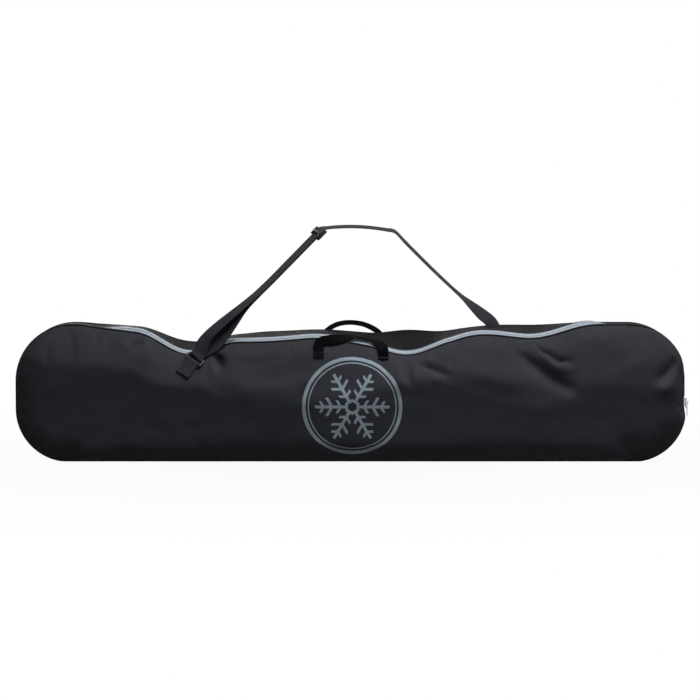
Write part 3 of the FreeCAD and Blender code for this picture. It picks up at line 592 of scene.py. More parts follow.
def print_ink(finish, cloth_colour, colour, along, across, threads):
    """Printed double ring with a plain six-armed snowflake inside it."""
    x = (along - EMBLEM_PLACE[0]) * (1 / EMBLEM_SCALE)
    z = (across - EMBLEM_PLACE[1]) * (1 / EMBLEM_SCALE)
    radius = (x.both(x) + z.both(z)).combine("SQRT")
    turn = z.combine("ARCTAN2", x)
    folded = ((turn + 7 * math.pi / 3 + SIXTH / 2).combine("MODULO", SIXTH) - SIXTH / 2).size()
    arm = radius.both(folded.combine("COSINE"))
    side = radius.both(folded.combine("SINE"))
    shaft = side.below(SHAFT_HALF_WIDTH, INK_EDGE).both(line_at(arm, *SHAFT))
    rings = line_at(radius, *OUTER_RING).either(line_at(radius, *INNER_RING))
    ink = rings.either(shaft).either(line_at(arm, *HUB))
    for start, length, half_width in BRANCHES:
        slanted = ((arm - start) * math.sin(SIXTH) - side * math.cos(SIXTH)).size()
        branch = slanted.below(half_width, INK_EDGE).both(side.below(length * math.sin(SIXTH), INK_EDGE))
        ink = ink.either(branch.both((arm - (start - BRANCH_ROOT)).combine("GREATER_THAN", 0.0)))
    places = finish.object_places()
    worn = finish.noise(places, 260.0, 4.0, 0.7)
    cover = ink.both(worn.below(0.72, 0.08)).both(threads * 0.22 + 0.78)
    ink_colour = finish.shades(finish.noise(places, 14.0, 3.0), colour, 0.72, 1.3)
    finish.colour_by(finish.mix_colours(cover, cloth_colour, ink_colour))
    finish.bump(ink, 0.00012, 0.5)


def webbing_finish(name, colour, pitch):
    finish = Finish(name, colour, 0.72, Specular_IOR_Level=0.02)
    places, along, across = finish.cut_places()
    herring = ((across.size() + along) * (2 * math.pi / pitch)).combine("SINE") * 0.5 + 0.5
    ribs = (across * (math.pi / WEBBING_RIB)).combine("SINE").size()
    relief = herring * 0.6 + ribs * 0.4
    fuzz = finish.noise(finish.stretch(places, (900, 260, 1)), 1.0, 3.0)
    finish.tint(relief * 0.55 + fuzz * 0.45, 0.80, 1.24)
    finish.feed("Roughness", fuzz, 0.64, 0.82)
    finish.bump(fuzz, 0.0002, 0.5)
    finish.bump(relief, 0.00035, 0.9)
    return finish.material


def tape_finish(name, colour):
    finish = Finish(name, colour, 0.55, Specular_IOR_Level=0.3)
    places, along, across = finish.cut_places()
    ribs = (along * (math.pi / TAPE_RIB)).combine("SINE").size()
    lines = (across * (math.pi / TAPE_LINE)).combine("SINE").size()
    grain = finish.noise(places, 240.0, 3.0)
    finish.tint(ribs * 0.35 + lines * 0.25 + grain * 0.4, 0.8, 1.2)
    finish.bump(ribs * 0.6 + lines * 0.4, 0.00018, 0.8)
    return finish.material


def plain_finish(name, colour, roughness, grain_scale, relief, **shader_values):
    """Moulded, spun or metal finish with fine grain and slight wear."""
    finish = Finish(name, colour, roughness, **shader_values)
    places = finish.object_places()
    grain = finish.noise(places, grain_scale, 4.0, 0.6)
    finish.tint(grain, 0.75, 1.25)
    finish.feed("Roughness", finish.noise(places, grain_scale / 6, 3.0), roughness * 0.82, roughness * 1.2)
    finish.bump(grain, relief, 0.6)
    return finish.material


MATERIALS = {}


def finish_for(name):
    """The bag's finishes, each made the first time that a piece asks for it."""
    if name not in MATERIALS:
        colours = bpy.context.scene.bag_colours
        make = {
            "printed cloth": lambda: cloth_finish("printed cloth", colours.cloth, colours.emblem),
            "cloth": lambda: cloth_finish("cloth", colours.cloth),
            # same cloth finish as the shell, but darker: painted shade on the gussets
            "gusset cloth with painted shade": lambda: cloth_finish("gusset cloth with painted shade", colours.gusset),
            "lining": lambda: plain_finish("lining", colours.lining, 0.55, 900.0, 0.0001,
                                           Specular_IOR_Level=0.2),
            "zip tape": lambda: tape_finish("zip tape", colours.tape),
            "zip teeth": lambda: plain_finish("zip teeth", [value * 1.15 for value in colours.tape], 0.38,
                                              700.0, 0.00005),
            # the piping's dark colour is partly its own and partly painted shade for the shadow line under
            # the zip
            "piping": lambda: plain_finish("piping", colours.piping, 0.62, 1600.0, 0.00015,
                                           Specular_IOR_Level=0.06),
            "strap webbing": lambda: webbing_finish("strap webbing", colours.strap, 0.0026),
            "handle webbing": lambda: webbing_finish("handle webbing", colours.handle, 0.0022),
            "thread": lambda: plain_finish("thread", [value * 1.5 for value in colours.strap], 0.7, 2200.0,
                                           0.00008, Specular_IOR_Level=0.15),
            "pale thread": lambda: plain_finish("pale thread", [value * 0.8 for value in colours.tape], 0.6,
                                                2200.0, 0.00008),
            "black plastic": lambda: plain_finish("black plastic", colours.plastic, 0.45, 1100.0, 0.00006,
                                                  Specular_IOR_Level=0.2),
            "metal": lambda: plain_finish("metal", colours.metal, 0.3, 1500.0, 0.00004, Metallic=1.0),
        }
        MATERIALS[name] = make[name]()
    return MATERIALS[name]


# ---------------------------------------------------------------- panels

SURFACES = {}


def along_fold(places, points):
    """Distance from a fold's line, and how far along it, for every place on the cloth."""
    points = np.array(points, float)
    steps = np.diff(points, axis=0)
    lengths = np.hypot(steps[:, 0], steps[:, 1])
    distance = np.full(len(places), np.inf)
    share = np.zeros(len(places))
    before = 0.0
    for start, step, length in zip(points, steps, lengths):
        nearest = np.clip((places - start) @ step / length ** 2, 0, 1)
        gap = places - start - nearest[:, None] * step
        size = np.hypot(gap[:, 0], gap[:, 1])
        closer = size < distance
        distance[closer] = size[closer]
        share[closer] = ((before + nearest * length) / lengths.sum())[closer]
        before += length
    return distance, share


def fold_height(places, points, width, height, sharp):
    """A soft ridge (or a valley, with a height below 0); sharp folds come to a line."""
    distance, share = along_fold(places, points)
    reach = distance / width
    profile = np.exp(-reach * 1.6) if sharp else np.exp(-reach ** 2)
    return height * profile * np.sqrt(np.sin(np.pi * np.clip(share, 0.02, 0.98)))


# the front's folds: points along the fold as x and height, width, height of the fold, and whether it is sharp
FRONT_FOLDS = [
    ([(0.236, 0.232), (0.300, 0.214), (0.370, 0.200), (0.450, 0.180)], 0.034, 0.0085, False),
    ([(0.150, 0.246), (0.205, 0.232), (0.250, 0.250)], 0.022, -0.0045, False),
    ([(-0.458, 0.232), (-0.412, 0.214), (-0.350, 0.228)], 0.026, 0.0045, False),
    ([(0.396, 0.262), (0.424, 0.238), (0.470, 0.204), (0.540, 0.164)], 0.0145, -0.0095, False),
    ([(0.440, 0.270), (0.462, 0.262), (0.492, 0.241), (0.528, 0.241)], 0.0075, -0.0080, True),
    ([(0.450, 0.252), (0.490, 0.226), (0.535, 0.224)], 0.012, 0.0040, False),
    ([(0.150, 0.236), (0.190, 0.222), (0.236, 0.206)], 0.0065, -0.0070, True),
    ([(0.140, 0.222), (0.185, 0.206), (0.222, 0.196)], 0.010, 0.0035, False),
    ([(0.156, 0.252), (0.205, 0.240), (0.250, 0.216)], 0.010, 0.0035, False),
    ([(-0.486, 0.306), (-0.505, 0.284), (-0.530, 0.262)], 0.0070, -0.0080, True),
    ([(-0.470, 0.292), (-0.484, 0.272), (-0.492, 0.252)], 0.012, 0.0050, False),
    ([(-0.330, 0.264), (-0.317, 0.246), (-0.309, 0.222)], 0.0135, -0.0125, False),
    ([(-0.560, 0.292), (-0.500, 0.256), (-0.455, 0.238)], 0.014, 0.0040, False),
    ([(-0.320, 0.206), (-0.250, 0.176), (-0.170, 0.172), (-0.120, 0.180)], 0.024, 0.0050, False),
    ([(-0.300, 0.246), (-0.230, 0.236), (-0.150, 0.252)], 0.010, -0.0018, False),
    ([(-0.638, 0.316), (-0.632, 0.286), (-0.616, 0.256)], 0.0105, -0.0015, True),
    ([(-0.604, 0.316), (-0.602, 0.288), (-0.610, 0.258)], 0.0095, -0.0015, True),
    ([(-0.566, 0.312), (-0.574, 0.288), (-0.588, 0.262)], 0.0105, -0.0015, True),
    ([(-0.668, 0.312), (-0.664, 0.290), (-0.656, 0.268)], 0.0105, -0.0011, True),
    ([(0.776, 0.250), (0.758, 0.222), (0.730, 0.186)], 0.0165, -0.0095, False),
    ([(0.770, 0.196), (0.744, 0.178), (0.716, 0.172)], 0.014, 0.0050, False),
    ([(0.720, 0.262), (0.690, 0.236), (0.640, 0.222)], 0.022, 0.0030, False),
    ([(0.330, 0.292), (0.380, 0.282), (0.440, 0.284)], 0.012, -0.0035, False),
    ([(-0.080, 0.236), (-0.090, 0.205), (-0.130, 0.180)], 0.014, 0.0026, False),
    ([(0.085, 0.236), (0.098, 0.210), (0.130, 0.186)], 0.013, 0.0026, False),
]
BACK_FOLDS = [
    ([(0.300, 0.205), (0.345, 0.222), (0.400, 0.232), (0.470, 0.228)], 0.018, 0.0040, False),
    ([(0.330, 0.262), (0.300, 0.240), (0.250, 0.226)], 0.011, -0.0045, True),
    ([(0.402, 0.258), (0.440, 0.240), (0.500, 0.236)], 0.011, -0.0040, True),
    ([(-0.085, 0.232), (-0.110, 0.205), (-0.160, 0.190)], 0.014, 0.0030, False),
    ([(0.085, 0.232), (0.112, 0.204), (0.170, 0.186)], 0.014, 0.0030, False),
    ([(-0.420, 0.300), (-0.400, 0.270), (-0.350, 0.250)], 0.014, -0.0040, False),
    ([(-0.780, 0.250), (-0.755, 0.215), (-0.715, 0.180)], 0.018, -0.0060, False),
    ([(0.780, 0.250), (0.752, 0.212), (0.700, 0.190)], 0.018, -0.0055, False),
    ([(-0.640, 0.070), (-0.200, 0.055), (0.200, 0.066), (0.640, 0.055)], 0.028, 0.0022, False),
]


def filled_outline(edge, side):
    """Flat mesh that fills the seam line: its four sides meet at the middles of the four corners."""
    shell = bpy.context.scene.bag_shell
    depth = side * HALF_DEPTH
    left = (-edge.base_arc / 2, edge.side + edge.top_arc / 2)
    top = (left[1], left[1] + edge.top_arc + 2 * edge.top_x)
    right = (edge.upper + edge.base_arc / 2, top[1])
    base = (edge.length - edge.base_arc / 2, right[0])

    def seam(ends, share):
        distance = (ends[0] + (ends[1] - ends[0]) * share) % edge.length
        return edge.gusset_point(distance, depth)

    columns = round((base[0] - base[1]) / shell.mesh_step)
    rows = round((left[1] - left[0]) / shell.mesh_step)
    sides = {name: [seam(ends, index / count) for index in range(count + 1)]
             for name, ends, count in (("left", left, rows), ("right", right, rows),
                                       ("top", top, columns), ("base", base, columns))}

    def place(along, across):
        column = round(along * columns)
        row = round(across * rows)
        sideways = sides["left"][row].lerp(sides["right"][row], along)
        upwards = sides["base"][column].lerp(sides["top"][column], across)
        low = sides["left"][0].lerp(sides["right"][0], along)
        high = sides["left"][-1].lerp(sides["right"][-1], along)
        return sideways + upwards - low.lerp(high, across)

    return bent_grid(columns, rows, place, lambda along, across: (along, across))


# where the cloth turns from the slope under the top edge to the upright part below it, as x and height
FRONT_RIDGE = [
    (-0.770, 0.252), (-0.660, 0.245), (-0.526, 0.230), (-0.460, 0.194), (-0.416, 0.185), (-0.361, 0.194),
    (-0.325, 0.163), (-0.225, 0.143), (-0.131, 0.141), (0.000, 0.152), (0.100, 0.184), (0.145, 0.208),
    (0.185, 0.188), (0.247, 0.188), (0.280, 0.168), (0.338, 0.149), (0.400, 0.136), (0.457, 0.130),
    (0.520, 0.150), (0.552, 0.184), (0.600, 0.190), (0.710, 0.182), (0.775, 0.176),
]
BACK_RIDGE = [
    (-0.760, 0.235), (-0.450, 0.210), (-0.200, 0.180), (0.050, 0.196), (0.320, 0.178), (0.760, 0.222),
]

# a panel from top to base: it turns out over a lip, slopes out to the ridge and hangs back in below it
LIP_REACH = 0.020
LIP_SHARE = 0.26
RIDGE_ROUNDING = 0.04
HANG = 0.0205
HANG_REACH = 0.110
HANG_ROUNDING = 0.004
# the right part hangs in less, from here and over this reach
LESS_HANG = 0.30
LESS_HANG_START = -0.30
LESS_HANG_REACH = 0.45
FOLD_END = 0.026
UNEVEN = 0.0020
FINELY_UNEVEN = 0.0010

# the cloth's settling: push from inside, weight and the furthest that any place moves
PUSH = 3.0
WEIGHT = 0.6
MOST_TRAVEL = 0.0075


def ridge_under(places, ridge):
    """Height of the ridge at every place on the cloth, rounded along its length."""
    line = np.linspace(-HALF_LENGTH, HALF_LENGTH, 321)
    weights = np.hanning(9)
    plain = np.pad(np.interp(line, *zip(*ridge)), len(weights) // 2, mode="edge")
    return np.interp(places[:, 0], line, np.convolve(plain, weights / weights.sum(), "valid"))


def soft_above(values, softness):
    """The values where they are above 0, and 0 below, with a rounded corner."""
    return softness * np.logaddexp(0, values / softness)


def quarter_round(share):
    """Rises from 0 to 1 along a quarter of a circle."""
    return np.sqrt(1 - (1 - np.clip(share, 0, 1)) ** 2)


def distances(bm, targets):
    tree = KDTree(len(targets))
    for index, place in enumerate(targets):
        tree.insert(place, index)
    tree.balance()
    return np.array([tree.find(vertex.co)[2] for vertex in bm.verts])


def shape_panel(bm, edge, side, folds, ridge):
    """Raises the flat panel into its stuffed shape: a slope under the top, a ridge, and folds on both."""
    shell = bpy.context.scene.bag_shell
    rim = [vertex.co.copy() for vertex in bm.verts if vertex.is_boundary]
    ends = [place for place in rim if abs(place.x) > edge.base_x]
    base = [place for place in rim if place.z < 0.004]
    places = np.array([(vertex.co.x, vertex.co.z) for vertex in bm.verts])
    below_top = np.array([edge.top(x, side * HALF_DEPTH) - z for x, z in places])
    below_ridge = ridge_under(places, ridge) - places[:, 1]
    lip = quarter_round(below_top / LIP_REACH)
    slope = 1 - soft_above(1 - below_top / (below_top - below_ridge), RIDGE_ROUNDING)
    rise = LIP_SHARE * lip + (1 - LIP_SHARE) * slope
    under = HANG * (1 - np.exp(-soft_above(below_ridge, HANG_ROUNDING) / HANG_REACH))
    under *= 1 - LESS_HANG * np.clip((places[:, 0] - LESS_HANG_START) / LESS_HANG_REACH, 0, 1)
    rounding = (quarter_round(distances(bm, ends) / shell.dome_reach)
                * quarter_round(distances(bm, base) / shell.base_reach))
    from_seam = np.clip(distances(bm, rim) / FOLD_END, 0, 1)
    from_seam = from_seam ** 2 * (3 - 2 * from_seam)
    heights = sum(fold_height(places, *fold) for fold in folds) * shell.fold_strength
    layer = bm.loops.layers.uv.active
    bulge = shell.bulge if side == FRONT else shell.back_bulge
    for index, vertex in enumerate(bm.verts):
        seed = Vector((vertex.co.x * 7, side * 3.7, vertex.co.z * 11))
        soft = noise.noise(seed) * UNEVEN + noise.noise(seed * 3.1) * FINELY_UNEVEN
        out = (bulge * rise[index] - under[index]) * rounding[index]
        vertex.co.y = side * (HALF_DEPTH + out + (heights[index] + soft) * from_seam[index])
        for loop in vertex.link_loops:
            loop[layer].uv = places[index]
    if side == BACK:
        bmesh.ops.reverse_faces(bm, faces=bm.faces[:])


def puff(piece, side):
    """Lets the cloth settle against the soft push of what is inside; its seam stays where it is."""
    shell = bpy.context.scene.bag_shell
    scene = bpy.context.scene
    mesh = piece.data
    before = np.empty(len(mesh.vertices) * 3)
    mesh.vertices.foreach_get("co", before)
    rim = bmesh.new()
    rim.from_mesh(mesh)
    held = [vertex.index for vertex in rim.verts if vertex.is_boundary]
    rim.free()
    piece.vertex_groups.new(name="seam").add(held, 1.0, "REPLACE")
    cloth = piece.modifiers.new("settling", "CLOTH")
    cloth.settings.quality = 6
    cloth.settings.mass = 0.15
    cloth.settings.tension_stiffness = 25
    cloth.settings.compression_stiffness = 12
    cloth.settings.shear_stiffness = 8
    cloth.settings.bending_stiffness = 0.35
    cloth.settings.shrink_min = -shell.slack
    cloth.settings.vertex_group_mass = "seam"
    cloth.settings.effector_weights.gravity = 1
    cloth.collision_settings.use_collision = False
    cloth.collision_settings.use_self_collision = False
    kept_gravity = scene.gravity.copy()
    scene.gravity = (0, side * PUSH, -WEIGHT)
    for frame_number in range(1, shell.frames + 1):
        scene.frame_set(frame_number)
    shaped = piece.evaluated_get(bpy.context.evaluated_depsgraph_get())
    after = np.empty_like(before)
    shaped.data.vertices.foreach_get("co", after)
    moves = (after - before).reshape(-1, 3)
    sizes = np.maximum(np.linalg.norm(moves, axis=1), 1e-9)
    moves *= (MOST_TRAVEL * np.tanh(sizes / MOST_TRAVEL) / sizes)[:, None]
    piece.modifiers.remove(cloth)
    piece.vertex_groups.clear()
    mesh.vertices.foreach_set("co", before + moves.ravel())
    mesh.update()
    scene.frame_set(1)
    scene.gravity = kept_gravity


def split_at(piece, name, x):
    """Cuts a piece across the bag; the part to the right of x becomes a piece of its own."""
    halves = []
    for clear_right in (True, False):
        bm = bmesh.new()
        bm.from_mesh(piece.data)
        bmesh.ops.bisect_plane(bm, geom=bm.verts[:] + bm.edges[:] + bm.faces[:], dist=1e-6,
                               plane_co=(x, 0, 0), plane_no=X_AXIS,
                               clear_outer=clear_right, clear_inner=not clear_right)
        halves.append(bm)
    materials = list(piece.data.materials)
    right = new_piece(name, halves[1], *materials)
    halves[0].to_mesh(piece.data)
    halves[0].free()
    return right


def make_panels(edge):
    shell = bpy.context.scene.bag_shell
    for side, name, node, finish, folds, ridge in (
            (FRONT, "front_cloth", "front_panel", "printed cloth", FRONT_FOLDS, FRONT_RIDGE),
            (BACK, "back_cloth", "back_panel", "cloth", BACK_FOLDS, BACK_RIDGE)):
        bm = filled_outline(edge, side)
        shape_panel(bm, edge, side, folds, ridge)
        panel = new_piece(name, bm, finish_for(finish), finish_for("lining"))
        puff(panel, side)
        finished = bmesh.new()
        finished.from_mesh(panel.data)
        SURFACES[side] = BVHTree.FromBMesh(finished)
        finished.free()
        if side == FRONT:
            opening = split_at(panel, "opening_cloth", FOLD.x)
            thicken(opening, shell.cloth, -1, 1)
            sew_on(opening, "shell_fabric", "front_flap")
        thicken(panel, shell.cloth, -1, 1)
        sew_on(panel, "shell_fabric", node)


def on_cloth(x, z, side, reach=0.007):
    """Place on a panel and the outward direction there, levelled over a small reach."""
    tree = SURFACES[side]

    def hit(step_x, step_z):
        start = Vector((x + step_x, side * 0.3, z + step_z))
        return tree.ray_cast(start, Vector((0, -side, 0)))

    place, normal = hit(0, 0)[:2]
    if place is None:
        raise RuntimeError("no cloth at %.3f, %.3f" % (x, z))
    ends = [hit(step_x, step_z)[0] for step_x, step_z in ((-reach, 0), (reach, 0), (0, -reach), (0, reach))]
    if all(ends):
        normal = (ends[1] - ends[0]).cross(ends[3] - ends[2]).normalized()
    return place, normal if normal.y * side > 0 else -normal


# ---------------------------------------------------------------- gusset, zip and seam trim

STRIP_STEP = 0.006
STRIP_ROW = 0.004
TOP_CREASE = 0.0016
BASE_CREASE = 0.0010
PIPING_STEP = 0.005
PIPING_INSET = 0.0012
PIPING_CUT = 0.010
BINDING_STEP = 0.008
BINDING_CUT = 0.009
BINDING_TOP = 0.0030
BINDING_WIDTH = 0.0075
BINDING_INSET = 0.0035
BINDING_BOW = 0.0012
BINDING_THICKNESS = 0.0014
# how far the tapes reach in under the teeth, and where the rows begin and end
UNDER_COIL = 0.0038
ZIP_END = 0.004
# half a tooth: its share of the pitch, its width and its height
TOOTH = (0.42, 0.0030, 0.0011)
TOOTH_SPREAD = 0.0024
TOOTH_LIFT = 0.0006
# half a thread's width and height, and the rows of stitches counted from a tape's outer edge
THREAD = (0.00045, 0.00035)
THREAD_LIFT = 0.0002
STITCH_PITCH = 1.32
FRONT_ROWS = (0.0045,)
REAR_ROWS = (-0.002, 0.002)


def zip_runs(edge):
    """The zip's stretches as name, start, end and side; the front one is parted where the front folds."""
    fold = edge.at_top(FOLD.x)
    return [("front", 0, fold, FRONT), ("opening", fold, edge.upper, FRONT), ("rear", 0, edge.upper, BACK)]


def seam_runs(edge):
    """The same for the seams, which run all round the bag."""
    fold = edge.at_top(FOLD.x)
    return [("front", edge.upper, edge.length + fold, FRONT), ("opening", fold, edge.upper, FRONT),
            ("rear", 0, edge.length, BACK)]


def edge_strip(name, edge, start, end, near, far, crease, *finishes):
    """Strip of cloth that follows the bag's edge, between two depths."""
    columns = max(8, round((end - start) / STRIP_STEP))
    rows = max(2, round((far - near) / STRIP_ROW))

    def place(along, across):
        distance = start + (end - start) * along
        depth = near + (far - near) * across
        waves = Vector((distance * 16, depth * 22, near * 50))
        wrinkle = noise.noise(waves) + 0.5 * noise.noise(waves * 2.7)
        point = edge.gusset_point(distance, depth, crease * wrinkle * math.sin(math.pi * across))
        point.z = max(point.z, 0.0)
        return point

    def cut(along, across):
        return start + (end - start) * along, near + (far - near) * across

    return new_piece(name, bent_grid(columns, rows, place, cut), *[finish_for(finish) for finish in finishes])


def make_gussets(edge):
    for name, node, start, end, near, crease in (
            ("top_gusset_cloth", "top_gusset", 0, edge.upper, REAR_TAPE[1], TOP_CREASE),
            ("base_gusset_cloth", "bottom_gusset", edge.upper, edge.length, -HALF_DEPTH, BASE_CREASE)):
        # the gussets take the darker cloth colour, which is painted shade
        gusset = edge_strip(name, edge, start, end, near, HALF_DEPTH, crease, "gusset cloth with painted shade", "lining")
        thicken(gusset, bpy.context.scene.bag_shell.cloth, -1, 1)
        sew_on(gusset, "shell_fabric", node)


def seam_tube(name, edge, start, end, side):
    """Piping along a seam; it closes on itself where it runs all round the bag."""
    radius = bpy.context.scene.bag_zip.piping
    columns = round((end - start) / PIPING_STEP)

    def place(along, across):
        distance = start + (end - start) * along
        turn = 2 * math.pi * across
        centre = edge.gusset_point(distance % edge.length, side * HALF_DEPTH, -PIPING_INSET)
        out_x, out_z = edge.locate(distance, side * HALF_DEPTH)[2:]
        outward = Vector((out_x, 0, out_z))
        point = centre + (outward * math.sin(turn) + Y_AXIS * (side * math.cos(turn))) * radius
        point.z = max(point.z, 0.0)
        return point

    def cut(along, across):
        return start + (end - start) * along, across * PIPING_CUT

    bm = bent_grid(columns, 8, place, cut)
    return new_piece(name, close_tube(bm, capped=end - start < edge.length), finish_for("piping"))


def node_part(name):
    """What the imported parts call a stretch: the opening's are the flap's."""
    return "flap" if name == "opening" else name


def make_piping(edge):
    for name, start, end, side in seam_runs(edge):
        tube = seam_tube(name + "_seam_piping", edge, start, end, side)
        sew_on(tube, "piping", node_part(name) + "_piping")


def seam_tape(name, edge, start, end, side):
    """Narrow tape that hangs inside a seam."""
    def place(along, across):
        distance = start + (end - start) * along
        depth = side * (HALF_DEPTH - BINDING_INSET + BINDING_BOW * math.sin(math.pi * across))
        return edge.gusset_point(distance % edge.length, depth, -(BINDING_TOP + BINDING_WIDTH * across))

    def cut(along, across):
        return start + (end - start) * along, across * BINDING_CUT

    bm = bent_grid(round((end - start) / BINDING_STEP), 3, place, cut)
    if side == FRONT:
        bmesh.ops.reverse_faces(bm, faces=bm.faces[:])
    return new_piece(name, bm, finish_for("piping"))


def make_bindings(edge):
    """Seam tapes that cover the raw edges inside the bag."""
    for name, start, end, side in seam_runs(edge):
        tape = seam_tape(name + "_seam_tape", edge, start, end, side)
        thicken(tape, BINDING_THICKNESS, 0)
        sew_on(tape, "binding", node_part(name) + "_seam_binding")


def make_tapes(edge):
    for name, start, end, side in zip_runs(edge):
        near, far = FRONT_TAPE if side == FRONT else REAR_TAPE
        if side == FRONT:
            far += UNDER_COIL
        else:
            near -= UNDER_COIL
        tape = edge_strip(name + "_tape", edge, start, end, near, far, 0, "zip tape")
        thicken(tape, bpy.context.scene.bag_zip.tape_thickness, -1)
        sew_on(tape, "zip_tape", node_part(name) + "_zip_tape")


def clear_of_ends(edge, start, end):
    return max(start, ZIP_END), min(end, edge.upper - ZIP_END)


def make_teeth(edge):
    """The zip's teeth: round beads along both tapes, those of one side between those of the other."""
    pitch = bpy.context.scene.bag_zip.tooth_pitch
    share, width, height = TOOTH
    for name, start, end, side in zip_runs(edge):
        start, end = clear_of_ends(edge, start, end)
        placements = []
        index = math.ceil(start / pitch)
        while index * pitch < end:
            distance = (index + (0.5 if side == BACK else 0)) * pitch
            placements.append(edge.gusset_matrix(distance, COIL_MIDDLE + side * TOOTH_SPREAD, TOOTH_LIFT,
                                                 (pitch * share, width, height)))
            index += 1
        sew_on(beads_at(name + "_teeth", "zip teeth", placements), "zip_coil", node_part(name) + "_zip_coil")


def make_tape_stitches(edge):
    """Rows of stitches along both edges of the zip's tapes."""
    stitch = bpy.context.scene.bag_webbing.stitch
    pitch = stitch * STITCH_PITCH
    for name, start, end, side in zip_runs(edge):
        start, end = clear_of_ends(edge, start, end)
        tape_edge, rows = (FRONT_TAPE[0], FRONT_ROWS) if side == FRONT else (REAR_TAPE[1], REAR_ROWS)
        placements = [edge.gusset_matrix((index + 0.5) * pitch, tape_edge + row, THREAD_LIFT,
                                         (stitch / 2, *THREAD))
                      for row in rows
                      for index in range(math.ceil(start / pitch), int(end / pitch))]
        sew_on(beads_at(name + "_tape_stitches", "pale thread", placements), "zip_tape")


# ---------------------------------------------------------------- webbing

BAND_STEP = 0.004
BAND_SIDES = 28
SEWN_STEP = 0.002
STAND_OFF = 0.0004
THREAD_RADIUS = 0.0004
BOX_WIDTH = 0.8
CLOSE_PITCH = 1.25


def travel_at(points, index):
    return (points[min(index + 1, len(points) - 1)] - points[max(index - 1, 0)]).normalized()


def resampled(stations, step):
    """Even stations on a smooth line through the given ones, each a centre and a direction across."""
    fine = []
    count = len(stations)
    for index in range(count - 1):
        picked = [stations[min(max(index + offset, 0), count - 1)] for offset in (-1, 0, 1, 2)]
        pieces = max(1, round((picked[2][0] - picked[1][0]).length / step))
        for part in range(pieces):
            share = part / pieces
            weights = (-0.5 * share + share ** 2 - 0.5 * share ** 3,
                       1 - 2.5 * share ** 2 + 1.5 * share ** 3,
                       0.5 * share + 2 * share ** 2 - 1.5 * share ** 3,
                       -0.5 * share ** 2 + 0.5 * share ** 3)
            fine.append(tuple(sum((station[part_index] * weight for station, weight in zip(picked, weights)),
                                  Vector((0, 0, 0))) for part_index in (0, 1)))
    fine.append(stations[-1])
    return fine


def webbing(name, stations, width, thickness, finish, step=BAND_STEP):
    """Woven band with round selvedges through stations; its cut place is across and along, in metres."""
    stations = resampled(stations, step)
    points = [centre for centre, across in stations]
    lengths = [0.0]
    for first, second in zip(points, points[1:]):
        lengths.append(lengths[-1] + (second - first).length)
    selvedge = thickness / 2
    flat = width / 2 - selvedge

    def section(share):
        """Across and outward on the rounded flat section, from one selvedge round to it again."""
        turn = 2 * math.pi * share
        spread = math.copysign(min(abs(math.cos(turn)) ** 0.55, 1), math.cos(turn)) if share else 1
        past_flat = max((abs(spread) * (flat + selvedge) - flat) / selvedge, 0)
        height = selvedge * math.sqrt(max(1 - past_flat ** 2, 0))
        return spread * (flat + selvedge), math.copysign(height, math.sin(turn))

    def place(along, around):
        index = round(along * (len(stations) - 1))
        centre, across = stations[index]
        travel = travel_at(points, index)
        across = squared(across, travel)
        sideways, out = section(around % 1.0)
        return centre + across * sideways + travel.cross(across) * out

    def cut(along, around):
        sideways, out = section(around % 1.0)
        return sideways + math.copysign(width, out), lengths[round(along * (len(stations) - 1))]

    bm = bent_grid(len(stations) - 1, BAND_SIDES, place, cut)
    return new_piece(name, close_tube(bm), finish_for(finish))


def stitch_lines(name, stations, width, thickness, slot, lines, both_sides=False):
    """Stitches on a sewn end: each line runs between two places given as across share and distance."""
    stitch = bpy.context.scene.bag_webbing.stitch
    stations = resampled(stations, SEWN_STEP)
    points = [centre for centre, across in stations]
    total = sum((second - first).length for first, second in zip(points, points[1:]))
    placements = []
    for start, end in lines:
        start = Vector((start[0] * width / 2, start[1]))
        end = Vector((end[0] * width / 2, end[1]))
        count = max(2, round((end - start).length / (stitch * CLOSE_PITCH)))
        for number in range(count):
            spot = start.lerp(end, (number + 0.5) / count)
            index = min(max(round(spot.y / total * (len(stations) - 1)), 0), len(stations) - 1)
            centre, across = stations[index]
            travel = travel_at(points, index)
            across = squared(across, travel)
            facing = travel.cross(across)
            run = (end - start).normalized()
            direction = across * run.x + travel * run.y
            for out in ((1, -1) if both_sides else (1,)):
                place = centre + across * spot.x + facing * (out * thickness / 2)
                placements.append(placed(direction * stitch / 2, direction.cross(facing) * THREAD_RADIUS,
                                         facing * THREAD_RADIUS, place))
    settle(beads_at(name, "thread", placements), "root", slot)


def box_and_cross(near, far):
    """Stitching in a box with its two diagonals, from one distance along a band to another."""
    low_left, low_right, high_right, high_left = [(-BOX_WIDTH, near), (BOX_WIDTH, near),
                                                  (BOX_WIDTH, far), (-BOX_WIDTH, far)]
    return [(low_left, low_right), (low_right, high_right), (high_right, high_left), (high_left, low_left),
            (low_left, high_right), (low_right, high_left)]


# ---------------------------------------------------------------- handles

HANDLE_DROP = 0.032
RIGHT_RISE = 0.016
SEWN_END = 0.014
SHORT_SEWN_END = 0.007
CROWN = 0.0215
LEAN = 0.006
TOP_ROLL = math.radians(63)
BEND_BELOW = 0.006
BEND_ABOVE = 0.012


def handle_drop(x, side):
    return HANDLE_DROP - (RIGHT_RISE if side == FRONT and x > 0 else 0)


def handle_place(edge, x, drop, side):
    """Middle of the webbing on a panel, a distance below the plain top edge, and the direction out."""
    thickness = bpy.context.scene.bag_webbing.handle_thickness
    place, normal = on_cloth(x, edge.top(x, side * HALF_DEPTH) - drop, side)
    return place + normal * (thickness / 2 + STAND_OFF), normal


def sewn_stations(edge, x, side):
    """From a handle's sewn end up to its foot."""
    sewn = SHORT_SEWN_END if side == FRONT and x > 0 else SEWN_END
    stations = []
    for share in (0, 0.25, 0.5, 0.75, 1):
        place, normal = handle_place(edge, x, handle_drop(x, side) + sewn * (1 - share), side)
        stations.append((place, Z_AXIS.cross(normal)))
    return stations


